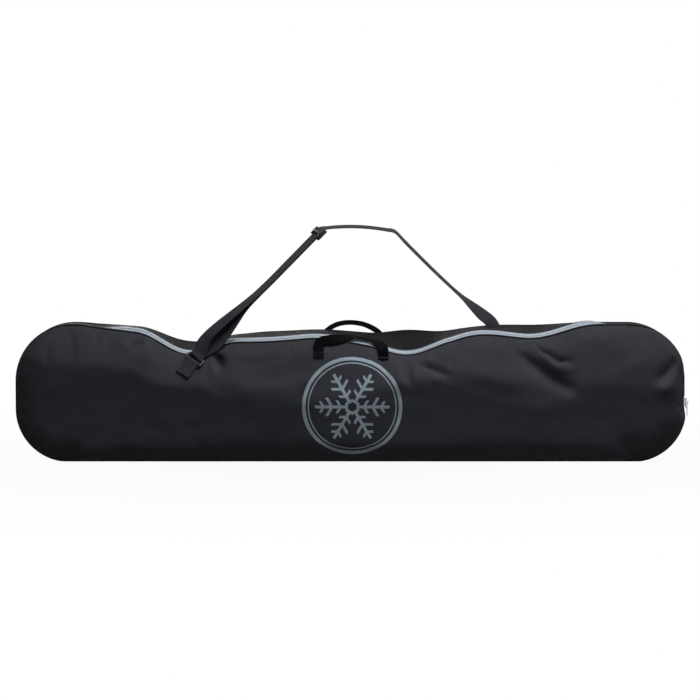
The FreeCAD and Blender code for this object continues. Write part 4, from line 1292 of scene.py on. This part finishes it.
# the front handle from its left foot to its right one: x, depth, height over the top edge there, and how far
# the webbing has turned from facing the front, at 0, to facing up, at 90
FRONT_ARCH = [
    (-0.0765, -0.0625, -0.0150, 0), (-0.0715, -0.0600, -0.0085, 6), (-0.0620, -0.0580, -0.0045, 12),
    (-0.0480, -0.0560, -0.0010, 20), (-0.0320, -0.0520, 0.0030, 32), (-0.0160, -0.0440, 0.0070, 50),
    (0.0000, -0.0340, 0.0095, 68), (0.0180, -0.0270, 0.0100, 80), (0.0370, -0.0250, 0.0095, 86),
    (0.0540, -0.0290, 0.0095, 82), (0.0670, -0.0400, 0.0090, 66), (0.0745, -0.0520, 0.0060, 40),
    (0.0768, -0.0590, -0.0010, 14),
]
# the rear handle from left to right: x, share of the way up from its feet to its crown
REAR_ARCH = [
    (-0.0755, 0.12), (-0.0700, 0.34), (-0.0600, 0.57), (-0.0450, 0.80), (-0.0260, 0.95), (-0.0030, 1.00),
    (0.0180, 0.965), (0.0330, 0.90), (0.0495, 0.77), (0.0630, 0.62), (0.0725, 0.46), (0.0768, 0.28),
    (0.0772, 0.12),
]


def front_handle_route(edge):
    """Up the front, across the zip and over the edge, along the gusset and down the front again."""
    route = []
    for x, depth, over, turned in FRONT_ARCH:
        turn = math.radians(turned)
        place = Vector((x, depth, edge.top(x, max(depth, -HALF_DEPTH)) + over))
        route.append((place, Y_AXIS * (FRONT * math.cos(turn)) + Z_AXIS * math.sin(turn)))
    return route


def rear_handle_route(edge, half):
    """Upright arch, leaning in on the left; the webbing faces back at its feet and mostly up above them."""
    feet = [handle_place(edge, x, HANDLE_DROP, BACK)[0] for x in (-half, half)]
    crown_z = edge.top(0, HALF_DEPTH) + CROWN
    route = []
    for x, rise in REAR_ARCH:
        share = (x + half) / (2 * half)
        foot = feet[0].lerp(feet[1], share)
        outward = Vector((-math.cos(math.pi * share), 0, math.sin(math.pi * share)))
        roll = TOP_ROLL * fade(rise, 0, 0.45)
        place = Vector((x, foot.y - LEAN * rise, foot.z + (crown_z - foot.z) * rise))
        route.append((place, Y_AXIS * math.cos(roll) + outward * math.sin(roll)))
    return route


def make_handle(edge, side):
    sizes = bpy.context.scene.bag_webbing
    half = sizes.handle_spacing / 2
    body = "front_handle" if side == FRONT else "rear_handle"
    route = front_handle_route(edge) if side == FRONT else rear_handle_route(edge, half)
    points = [point for point, facing in route]
    arch = [(point, travel_at(points, index).cross(facing)) for index, (point, facing) in enumerate(route)]
    left = sewn_stations(edge, -half, side)
    right = sewn_stations(edge, half, side)
    flip = 1 if left[-1][1].dot(arch[0][1]) > 0 else -1
    down = [(place, -across) for place, across in right[::-1]]
    stations = left + [(place, across * flip) for place, across in arch] + down
    handle = webbing(body + "_webbing", stations, sizes.handle_width, sizes.handle_thickness,
                     "handle webbing")
    hinge = pivot(body + "_swing")
    upward = squared(Z_AXIS, turning_line(body + "_swing"))
    hinge - upward * BEND_BELOW
    hinge + upward * BEND_ABOVE
    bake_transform(handle)
    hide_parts(body, body + "_patches")
    for label, ends in (("left", left), ("right", right)):
        facing = travel_at([place for place, across in ends], 1).cross(ends[1][1])
        if facing.y * side < 0:
            ends = [(place, -across) for place, across in ends]
        lines = box_and_cross(0.002, (ends[-1][0] - ends[0][0]).length - 0.0015)
        stitch_lines("%s_%s_stitches" % (body, label), ends, sizes.handle_width, sizes.handle_thickness,
                     "handle_webbing", lines)


# ---------------------------------------------------------------- shoulder strap

def node_frame(node):
    """Centre of a flat fitting and its directions across, upwards and outwards."""
    places = np.array([vertex.co for vertex in frame["nodes"][node].data.vertices])
    directions = np.linalg.svd(places - places.mean(0), full_matrices=False)[2]
    across, upward, outward = [Vector(direction) for direction in directions]
    centre = Vector((0, 0, 0))
    for direction in (across, upward, outward):
        reach = places @ np.array(direction)
        centre += direction * float((reach.max() + reach.min()) / 2)
    across *= math.copysign(1, across.x)
    upward *= math.copysign(1, upward.z)
    outward *= -math.copysign(1, outward.y)
    return centre, across, upward, outward


RING_WINDOW = 0.009
RING_BAR = 0.005
RING_THICKNESS = 0.004
RING_SIDE_PLAY = 0.0007
RING_FORWARD = 0.0012
LOOP = 0.0046
LOOP_START = 0.012
# how far the two layers of the doubled run turn, in degrees, just over the ring and further up
MAIN_TURNS = (47, 21)
RETURN_TURNS = (18, 50)
EDGE_ON_SHARE = 0.55
EDGE_ON_INSET = 0.006
LAYER_GAP = 0.0015
LAYER_GAP_GROWTH = 0.0010
ARCH_RISE = 0.0030
ARCH_SHARE = 0.6
RETURN_END = 0.016
# the strap's sewn end on the back: its place, and how steeply it runs down from there
TAIL_X = 0.352
TAIL_DROP = 0.026
TAIL_LEAN = math.radians(62)
TAIL_LIFT = 0.0014
TAIL_DROPS = (0.018, 0.026, 0.037, 0.048, 0.060)
SEAM_BEHIND = 0.010
SEAM_ABOVE = 0.008
# where the strap comes over the top edge and where it leaves it, as x and z
CREST_LEFT = (-0.071, 0.554)
CREST_RIGHT = (0.106, 0.546)
CREST_BOW = 0.0085
CREST_LIFT = 0.0015
FALL_SLACK = 0.006
# the single run's tilt, in degrees, and how much it turns over a reach before the seam
FALL_TILT = 10
FALL_TURN = 48
FALL_TURN_REACH = 0.115
STRAP_BEND_BELOW = 0.012
STRAP_BEND_ABOVE = 0.028
RUN_STEPS = 20
CREST_STEPS = 9
FALL_STEPS = 10


class Strap:
    """Places along the shoulder strap, from the ring on the front over the top to the back seam."""

    def __init__(self, edge):
        self.edge = edge
        self.centre, self.across, self.upward, self.outward = node_frame("strap_ring")
        self.centre += self.outward * RING_FORWARD
        self.foot = self.centre + self.upward * ((RING_WINDOW + RING_BAR) / 2)
        seam_x = TAIL_X - TAIL_DROP / math.tan(TAIL_LEAN)
        self.seam = Vector((seam_x, HALF_DEPTH + SEAM_BEHIND, edge.top(seam_x, HALF_DEPTH) + SEAM_ABOVE))
        self.top_left = self.crossing(*CREST_LEFT)
        self.top_right = self.crossing(*CREST_RIGHT)
        self.travel = (self.top_left - self.foot).normalized()
        self.length = (self.top_left - self.foot).length
        sizes = bpy.context.scene.bag_webbing
        self.half = sizes.strap_width / 2
        self.fan = sizes.fan
        self.bow = sizes.bow

    def crossing(self, x, z):
        share = (x - self.foot.x) / (self.seam.x - self.foot.x)
        return Vector((x, self.foot.y + (self.seam.y - self.foot.y) * share, z))

    def turned_across(self, travel, tilt):
        """Across the webbing: along the depth when tilt is 0, and square to the depth when it is 90."""
        outward = travel.cross(Y_AXIS).normalized()
        turn = math.radians(tilt)
        return squared(Y_AXIS * math.cos(turn) + outward * math.sin(turn), travel)

    def station(self, distance, layer):
        """Station on the doubled left run; layer 1 is the main band, -1 the returning one, 0 between them.

        The main band keeps its outer edge straight while it turns edge-on; the other fans out below it."""
        share = min(distance / self.length, 1)
        if layer > 0:
            edge_on = fade(share, 0, EDGE_ON_SHARE)
            tilt = 90 - MAIN_TURNS[0] * fade(distance, 0.004, 0.060) - MAIN_TURNS[1] * edge_on
            turned_half = self.half * math.sin(math.radians(tilt))
            aside = (self.half - EDGE_ON_INSET) * edge_on - self.half + turned_half
        else:
            tilt = (90 - RETURN_TURNS[0] * fade(distance, 0.012, 0.060)
                    - RETURN_TURNS[1] * fade(distance, 0.060, 0.150))
            aside = self.fan * fade(distance, 0.008, 0.042) * fade(distance, 0.175, -0.125)
        aside -= self.bow * fade(distance, 0, 0.040) * fade(distance, 0.210, -0.165)
        across = (-self.across).lerp(self.turned_across(self.travel, tilt), fade(distance, 0, 0.045))
        across = squared(across, self.travel)
        facing = self.travel.cross(across)
        below = Y_AXIS.cross(self.travel).normalized()
        spread = LAYER_GAP + LAYER_GAP_GROWTH * fade(distance, 0, 0.040) * fade(distance, 0.270, -0.150)
        arch = ARCH_RISE * math.sin(math.pi * min(share / ARCH_SHARE, 1))
        centre = self.foot + self.travel * distance + facing * (layer * spread) + below * aside
        return centre + Z_AXIS * arch, across

    def rear_place(self, drop):
        x = TAIL_X + (drop - TAIL_DROP) / math.tan(TAIL_LEAN)
        place, normal = on_cloth(x, self.edge.top(x, HALF_DEPTH) - drop, BACK)
        return place + normal * TAIL_LIFT, normal

    def doubled_run(self):
        """From the adjuster down to the ring, round its bar and up again."""
        first = self.length - RETURN_END
        down = [self.station(first - (first - LOOP_START) * step / RUN_STEPS, -1)
                for step in range(RUN_STEPS + 1)]
        across = down[-1][1]
        facing = self.travel.cross(across)
        turn = []
        for degrees in (-90, -45, 0, 45, 90):
            angle = math.radians(degrees)
            place = self.foot - self.travel * (LOOP * math.cos(angle)) + facing * (LOOP * math.sin(angle))
            turn.append((place, across))
        up = [self.station(LOOP_START + (self.length - LOOP_START) * step / RUN_STEPS, 1)
              for step in range(RUN_STEPS + 1)]
        return down + turn + up

    def single_run(self, before):
        """Over the crest and down to the back seam, after the places before it."""
        points = list(before)
        for step in range(1, CREST_STEPS + 1):
            share = step / CREST_STEPS
            rise = CREST_BOW * math.sin(math.pi * share) ** 0.8 if step < CREST_STEPS else 0
            points.append(self.top_left.lerp(self.top_right, share) + Z_AXIS * (rise + CREST_LIFT))
        run = self.seam - self.top_right
        for step in range(1, FALL_STEPS + 1):
            share = step / FALL_STEPS
            slack = FALL_SLACK * math.sin(math.pi * share)
            points.append(self.top_right + run * share + Z_AXIS * (CREST_LIFT * (1 - share) - slack))
        stations = []
        for index in range(len(before), len(points)):
            near_seam = fade((points[index] - self.seam).length, FALL_TURN_REACH, -FALL_TURN_REACH)
            across = self.turned_across(travel_at(points, index), FALL_TILT + FALL_TURN * near_seam)
            stations.append((points[index], across))
        return stations

    def sewn_end(self, last):
        """Down the back from the last station of the free strap."""
        tail = [self.rear_place(drop) for drop in TAIL_DROPS]
        places = [last[0]] + [place for place, normal in tail]
        sewn = []
        for index, (place, normal) in enumerate(tail, 1):
            across = travel_at(places, index).cross(normal).normalized()
            if across.dot(last[1]) < 0:
                across.negate()
            sewn.append((place, across))
        return sewn


def make_strap(edge):
    sizes = bpy.context.scene.bag_webbing
    strap = Strap(edge)
    free = strap.doubled_run()
    free += strap.single_run([place for place, across in free[-RUN_STEPS - 1:]])
    sewn = strap.sewn_end(free[-1])
    band = webbing("strap_band", free + sewn, sizes.strap_width, sizes.strap_thickness, "strap webbing")
    upward = squared(Z_AXIS, turning_line("strap_swing"))
    hinge = pivot("strap_swing")
    hinge - upward * STRAP_BEND_BELOW
    hinge + upward * STRAP_BEND_ABOVE
    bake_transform(band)
    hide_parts("strap_main_run", "strap_return_run", "strap_ring_turn", "rear_strap_tail")
    stitch_lines("strap_tail_stitches", sewn, sizes.strap_width, sizes.strap_thickness, "strap_webbing",
                 box_and_cross(0.010, 0.040), both_sides=True)


TAB_DROP = 0.044
TAB_RUN = 0.034
TAB_STEPS = 5
TAB_LEVELLING = 0.012
TAB_RISE_REACH = 0.030


def make_tab(edge):
    """Doubled webbing round the ring's lower bar, sewn to the front."""
    sizes = bpy.context.scene.bag_webbing
    strap = Strap(edge)
    bar = strap.centre - strap.upward * ((RING_WINDOW + RING_BAR) / 2)
    thickness = sizes.strap_thickness
    under = thickness / 2 + STAND_OFF
    lift = thickness * 1.5 + 2 * STAND_OFF
    outer = []
    inner = []
    for step in range(TAB_STEPS + 1):
        drop = TAB_DROP - TAB_RUN * step / TAB_STEPS
        spot = bar - strap.upward * drop
        place, normal = on_cloth(spot.x, spot.z, FRONT, TAB_LEVELLING)
        rise = fade(drop, TAB_RISE_REACH, -TAB_RISE_REACH)
        level = (spot - place).dot(normal)
        outer.append(place + normal * (lift + (max(level, 0) + LOOP * 0.7 - lift) * rise))
        inner.append(place + normal * (under + max(level - LOOP * 0.9, 0) * rise))
    loop = []
    for degrees in (60, 20, -20, -60, -100):
        angle = math.radians(degrees)
        loop.append(bar + strap.outward * (LOOP * math.sin(angle)) + strap.upward * (LOOP * math.cos(angle)))
    stations = [(point, strap.across) for point in outer + loop + inner[::-1][1:]]
    tab = webbing("ring_tab", stations, sizes.strap_width, thickness, "strap webbing", 0.003)
    settle(tab, "root", "strap_webbing", "strap_tab")
    across = strap.across if travel_at(outer, 1).cross(strap.across).y <= 0 else -strap.across
    stitch_lines("ring_tab_stitches", [(point, across) for point in outer], sizes.strap_width, thickness,
                 "strap_webbing", box_and_cross(0.003, 0.026))


ADJUSTER_BAR = 0.005
ADJUSTER_REACH = 0.015
ADJUSTER_THICKNESS = 0.0028
ADJUSTER_FROM_END = 0.011
ADJUSTER_STEP = 0.0048
RAIL_HEIGHT = 0.0105
RAIL_ROUNDING = 0.0009
FLAT_ANGLE = 0.1
SHARP_ANGLE = 0.6
SHARP_ROUNDING = 0.22


def bevel_edges(bm, edges, offset, segments, clamped=False):
    bmesh.ops.bevel(bm, geom=edges, offset=offset, offset_type="OFFSET", segments=segments, profile=0.5,
                    affect="EDGES", material=-1, clamp_overlap=clamped)


def pierced_plate(columns, rows, gone, height, place, rounding):
    """Flat moulded frame: a grid with its windows taken out, made solid and rounded."""
    bm = bmesh.new()
    bmesh.ops.create_grid(bm, x_segments=len(columns) - 1, y_segments=len(rows) - 1, size=1)
    for vertex in bm.verts:
        column = round((vertex.co.x + 1) / 2 * (len(columns) - 1))
        row = round((vertex.co.y + 1) / 2 * (len(rows) - 1))
        vertex.co = Vector((columns[column], rows[row], -height / 2))
    windows = [face for face in bm.faces
               if any(low < face.calc_center_median().y < high for low, high in gone)
               and columns[1] < face.calc_center_median().x < columns[-2]]
    bmesh.ops.delete(bm, geom=windows, context="FACES")
    raised = bmesh.ops.extrude_face_region(bm, geom=bm.faces[:], use_keep_orig=True)["geom"]
    bmesh.ops.translate(bm, verts=[item for item in raised if isinstance(item, bmesh.types.BMVert)],
                        vec=(0, 0, height))
    bmesh.ops.recalc_face_normals(bm, faces=bm.faces[:])
    flat = [edge for edge in bm.edges if edge.calc_face_angle(0) < FLAT_ANGLE]
    bmesh.ops.dissolve_edges(bm, edges=flat, use_verts=True)
    corners = [edge for edge in bm.edges
               if abs(edge.verts[0].co.z - edge.verts[1].co.z) > height / 2
               and abs(edge.verts[0].co.x) > columns[-1] - 1e-6]
    bevel_edges(bm, corners, rounding, 5)
    sharp = [edge for edge in bm.edges if edge.calc_face_angle(0) > SHARP_ANGLE]
    bevel_edges(bm, sharp, height * SHARP_ROUNDING, 3, clamped=True)
    bmesh.ops.transform(bm, matrix=place, verts=bm.verts[:])
    bmesh.ops.recalc_face_normals(bm, faces=bm.faces[:])
    return bm


def make_ring(edge):
    strap = Strap(edge)
    half = strap.half + RING_SIDE_PLAY
    window = RING_WINDOW / 2
    place = placed(strap.across, strap.upward, strap.across.cross(strap.upward), strap.centre)
    bm = pierced_plate((-half - RING_BAR, -half, half, half + RING_BAR),
                       (-window - RING_BAR, -window, window, window + RING_BAR),
                       ((-window, window),), RING_THICKNESS, place, 0.004)
    settle(new_piece("moulded_ring", bm, finish_for("black plastic")), "root", "black_plastic", "strap_ring")


def make_adjuster(edge):
    """Three-bar adjuster: two low bars and side rails, and a raised middle bar."""
    strap = Strap(edge)
    centre, across = strap.station(strap.length - ADJUSTER_FROM_END, 0)
    facing = strap.travel.cross(across)
    half = strap.half + RING_SIDE_PLAY
    bar = ADJUSTER_BAR
    reach = ADJUSTER_REACH
    columns = (-half - bar, -half, half, half + bar)
    low = placed(across, strap.travel, -facing, centre - facing * ADJUSTER_STEP)
    high = placed(across, strap.travel, -facing, centre + facing * ADJUSTER_STEP)
    bm = pierced_plate(columns, (-reach, bar - reach, reach - bar, reach), ((bar - reach, reach - bar),),
                       ADJUSTER_THICKNESS, low, 0.003)
    parts = [pierced_plate(columns, (-bar / 2, bar / 2), (), ADJUSTER_THICKNESS, high, 0.001)]
    for side in (-1, 1):
        rail = bmesh.new()
        bmesh.ops.create_cube(rail, size=1, matrix=Matrix.Diagonal((bar * 0.86, reach * 1.5, RAIL_HEIGHT, 1)))
        bevel_edges(rail, rail.edges[:], RAIL_ROUNDING, 3)
        place = placed(across, strap.travel, -facing, centre + across * (side * (half + bar / 2)))
        bmesh.ops.transform(rail, verts=rail.verts[:], matrix=place)
        parts.append(rail)
    for part in parts:
        mesh = bpy.data.meshes.new("part")
        part.to_mesh(mesh)
        part.free()
        bm.from_mesh(mesh)
        bpy.data.meshes.remove(mesh)
    bmesh.ops.recalc_face_normals(bm, faces=bm.faces[:])
    adjuster = new_piece("moulded_adjuster", bm, finish_for("black plastic"))
    settle(adjuster, "adjuster", "black_plastic", "strap_adjuster")


def finish_metal():
    """Slider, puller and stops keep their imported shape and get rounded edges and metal."""
    for name, width in (("zip_slider", 0.0006), ("zip_puller", 0.0005), ("zip_end_stops", 0.0004)):
        piece = frame["nodes"][name]
        piece.data.materials.clear()
        piece.data.materials.append(finish_for("metal"))
        weld = piece.modifiers.new("weld", "WELD")
        weld.merge_threshold = 1e-6
        rounding = piece.modifiers.new("rounding", "BEVEL")
        rounding.width = width
        rounding.segments = 3
        rounding.limit_method = "ANGLE"
        rounding.angle_limit = math.radians(35)


# ---------------------------------------------------------------- stage

FLOOR_COLOUR = (0.14, 0.14, 0.14, 1)
FLOOR_DROP = 0.0006
# the floor's share of plain white near the bag, and its growth per metre beyond 1 m
FLOOR_WHITE = 0.965
FLOOR_WHITE_GROWTH = 0.05
WORLD_STRENGTH = 0.10
# name, place, place it points at, two sides and watts
LAMPS = [
    ("overhead", (0.7, -0.80, 2.6), (0.1, 0, 0.15), (2.6, 0.8), 165),
    ("front", (2.9, -4.0, 1.0), (0.3, 0, 0.2), (1.8, 1.2), 24),
    ("rear", (-1.6, 3.6, 1.7), (0, 0, 0.15), (2.2, 1.2), 46),
]
CAMERA_AIM = (-0.0024, 0, 0.264)
CAMERA_AWAY = 8.0
CAMERA_TILT = math.radians(3.5)
CAMERA_LENS = 171.3


def white_for_camera(tree, shader, share):
    """Mixes a shader by a share towards plain white for what the camera, glossy and clear surfaces see."""
    path = tree.nodes.new("ShaderNodeLightPath")
    seen = Field(tree, path.outputs["Is Camera Ray"])
    for ray in ("Is Glossy Ray", "Is Transmission Ray"):
        seen = seen.either(Field(tree, path.outputs[ray]))
    white = tree.nodes.new("ShaderNodeEmission")
    white.inputs["Color"].default_value = (1, 1, 1, 1)
    white.inputs["Strength"].default_value = 1
    mix = tree.nodes.new("ShaderNodeMixShader")
    tree.links.new(seen.both(share).socket, mix.inputs["Fac"])
    tree.links.new(shader, mix.inputs[1])
    tree.links.new(white.outputs[0], mix.inputs[2])
    return mix.outputs[0]


def make_floor():
    bm = bmesh.new()
    bmesh.ops.create_circle(bm, cap_ends=True, segments=96, radius=30)
    floor = new_piece("floor", bm)
    material = bpy.data.materials.new("pale floor")
    material.use_nodes = True
    tree = material.node_tree
    shader = tree.nodes["Principled BSDF"]
    shader.inputs["Base Color"].default_value = FLOOR_COLOUR
    shader.inputs["Roughness"].default_value = 0.9
    away = tree.nodes.new("ShaderNodeVectorMath")
    away.operation = "LENGTH"
    tree.links.new(tree.nodes.new("ShaderNodeTexCoord").outputs["Object"], away.inputs[0])
    beyond = Field(tree, away.outputs["Value"]) - 1.0
    share = beyond.combine("MULTIPLY_ADD", FLOOR_WHITE_GROWTH, FLOOR_WHITE, clamp=True)
    seen = white_for_camera(tree, shader.outputs[0], share)
    tree.links.new(seen, tree.nodes["Material Output"].inputs["Surface"])
    floor.data.materials.append(material)
    floor.data.transform(Matrix.Translation((0, 0, -FLOOR_DROP)))


def make_world():
    world = bpy.data.worlds.new("studio")
    bpy.context.scene.world = world
    world.use_nodes = True
    tree = world.node_tree
    background = tree.nodes["Background"]
    background.inputs["Color"].default_value = (1, 1, 1, 1)
    background.inputs["Strength"].default_value = WORLD_STRENGTH
    seen = white_for_camera(tree, background.outputs[0], 1)
    tree.links.new(seen, tree.nodes["World Output"].inputs["Surface"])


def make_lamp(name, place, target, size, power):
    data = bpy.data.lights.new(name, "AREA")
    data.shape = "RECTANGLE"
    data.size, data.size_y = size
    data.energy = power
    lamp = bpy.data.objects.new(name, data)
    lamp.location = place
    lamp.rotation_euler = (Vector(target) - Vector(place)).to_track_quat("-Z", "Y").to_euler()
    bpy.context.scene.collection.objects.link(lamp)


def make_camera():
    data = bpy.data.cameras.new("camera")
    data.sensor_width = 36
    data.lens = CAMERA_LENS
    data.clip_end = 100
    camera = bpy.data.objects.new("camera", data)
    back = Vector((0, -math.cos(CAMERA_TILT), math.sin(CAMERA_TILT)))
    camera.location = Vector(CAMERA_AIM) + back * CAMERA_AWAY
    camera.rotation_euler = (math.pi / 2 - CAMERA_TILT, 0, 0)
    bpy.context.scene.collection.objects.link(camera)
    bpy.context.scene.camera = camera


def make_stage():
    make_floor()
    make_world()
    for lamp in LAMPS:
        make_lamp(*lamp)
    make_camera()
    bpy.context.scene.view_settings.view_transform = "Standard"


# ---------------------------------------------------------------- add-on

class BAG_OT_panels(bpy.types.Operator):
    """Make the front and back of the bag with their folds"""
    bl_idname = "bag.panels"
    bl_label = "Panels"
    bl_options = {"REGISTER", "UNDO"}

    def execute(self, context):
        make_panels(Edge())
        return {"FINISHED"}


class BAG_OT_gussets(bpy.types.Operator):
    """Make the top and base gussets between the panels"""
    bl_idname = "bag.gussets"
    bl_label = "Gussets"
    bl_options = {"REGISTER", "UNDO"}

    def execute(self, context):
        make_gussets(Edge())
        return {"FINISHED"}


class BAG_OT_piping(bpy.types.Operator):
    """Make the piping along both seams"""
    bl_idname = "bag.piping"
    bl_label = "Piping"
    bl_options = {"REGISTER", "UNDO"}

    def execute(self, context):
        make_piping(Edge())
        return {"FINISHED"}


class BAG_OT_bindings(bpy.types.Operator):
    """Make the seam tapes inside the bag"""
    bl_idname = "bag.bindings"
    bl_label = "Seam tapes"
    bl_options = {"REGISTER", "UNDO"}

    def execute(self, context):
        make_bindings(Edge())
        return {"FINISHED"}


class BAG_OT_tapes(bpy.types.Operator):
    """Make the two halves of the zip's tape"""
    bl_idname = "bag.tapes"
    bl_label = "Zip tapes"
    bl_options = {"REGISTER", "UNDO"}

    def execute(self, context):
        make_tapes(Edge())
        return {"FINISHED"}


class BAG_OT_teeth(bpy.types.Operator):
    """Make the teeth of the zip"""
    bl_idname = "bag.teeth"
    bl_label = "Zip teeth"
    bl_options = {"REGISTER", "UNDO"}

    def execute(self, context):
        make_teeth(Edge())
        return {"FINISHED"}


class BAG_OT_tape_stitches(bpy.types.Operator):
    """Make the stitches along the zip's tapes"""
    bl_idname = "bag.tape_stitches"
    bl_label = "Tape stitches"
    bl_options = {"REGISTER", "UNDO"}

    def execute(self, context):
        make_tape_stitches(Edge())
        return {"FINISHED"}


class BAG_OT_zip_metal(bpy.types.Operator):
    """Finish the slider, its puller and the stops"""
    bl_idname = "bag.zip_metal"
    bl_label = "Zip metal"
    bl_options = {"REGISTER", "UNDO"}

    def execute(self, context):
        finish_metal()
        return {"FINISHED"}


class BAG_OT_front_handle(bpy.types.Operator):
    """Make the handle that lies over the top"""
    bl_idname = "bag.front_handle"
    bl_label = "Front handle"
    bl_options = {"REGISTER", "UNDO"}

    def execute(self, context):
        make_handle(Edge(), FRONT)
        return {"FINISHED"}


class BAG_OT_rear_handle(bpy.types.Operator):
    """Make the upright handle at the back"""
    bl_idname = "bag.rear_handle"
    bl_label = "Rear handle"
    bl_options = {"REGISTER", "UNDO"}

    def execute(self, context):
        make_handle(Edge(), BACK)
        return {"FINISHED"}


class BAG_OT_ring(bpy.types.Operator):
    """Make the moulded ring at the foot of the strap"""
    bl_idname = "bag.ring"
    bl_label = "Strap ring"
    bl_options = {"REGISTER", "UNDO"}

    def execute(self, context):
        make_ring(Edge())
        return {"FINISHED"}


class BAG_OT_tab(bpy.types.Operator):
    """Make the tab that holds the ring"""
    bl_idname = "bag.tab"
    bl_label = "Ring tab"
    bl_options = {"REGISTER", "UNDO"}

    def execute(self, context):
        make_tab(Edge())
        return {"FINISHED"}


class BAG_OT_strap(bpy.types.Operator):
    """Make the webbing of the shoulder strap"""
    bl_idname = "bag.strap"
    bl_label = "Shoulder strap"
    bl_options = {"REGISTER", "UNDO"}

    def execute(self, context):
        make_strap(Edge())
        return {"FINISHED"}


class BAG_OT_adjuster(bpy.types.Operator):
    """Make the adjuster on the strap"""
    bl_idname = "bag.adjuster"
    bl_label = "Adjuster"
    bl_options = {"REGISTER", "UNDO"}

    def execute(self, context):
        make_adjuster(Edge())
        return {"FINISHED"}


class BAG_OT_stage(bpy.types.Operator):
    """Make the floor, the lights and the camera"""
    bl_idname = "bag.stage"
    bl_label = "Stage"
    bl_options = {"REGISTER", "UNDO"}

    def execute(self, context):
        make_stage()
        return {"FINISHED"}


OPERATORS = [
    BAG_OT_panels,
    BAG_OT_gussets,
    BAG_OT_piping,
    BAG_OT_bindings,
    BAG_OT_tapes,
    BAG_OT_teeth,
    BAG_OT_tape_stitches,
    BAG_OT_zip_metal,
    BAG_OT_front_handle,
    BAG_OT_rear_handle,
    BAG_OT_ring,
    BAG_OT_tab,
    BAG_OT_strap,
    BAG_OT_adjuster,
    BAG_OT_stage,
]


class BAG_PT_panel(bpy.types.Panel):
    """Lists the sizes, the colours and the steps."""
    bl_label = "Snowboard Bag"
    bl_idname = "BAG_PT_panel"
    bl_space_type = "VIEW_3D"
    bl_region_type = "UI"
    bl_category = "Snowboard Bag"

    def draw(self, context):
        for name, settings in SETTINGS:
            box = self.layout.box()
            for prop in settings.__annotations__:
                box.prop(getattr(context.scene, name), prop)
        for made in OPERATORS:
            self.layout.operator(made.bl_idname)


SETTINGS = [
    ("bag_shell", BagShellSettings),
    ("bag_zip", BagZipSettings),
    ("bag_webbing", BagWebbingSettings),
    ("bag_colours", BagColourSettings),
]


def register():
    for name, settings in SETTINGS:
        bpy.utils.register_class(settings)
        setattr(bpy.types.Scene, name, PointerProperty(type=settings))
    for made in OPERATORS + [BAG_PT_panel]:
        bpy.utils.register_class(made)


def unregister():
    for made in [BAG_PT_panel] + OPERATORS[::-1]:
        bpy.utils.unregister_class(made)
    for name, settings in SETTINGS[::-1]:
        delattr(bpy.types.Scene, name)
        bpy.utils.unregister_class(settings)


def main():
    register()
    for made in OPERATORS:
        make = getattr(bpy.ops.bag, made.bl_idname.split(".")[1])
        if "FINISHED" not in make():
            raise RuntimeError("%s was not made" % made.bl_label)


if __name__ == "__main__":
    main()
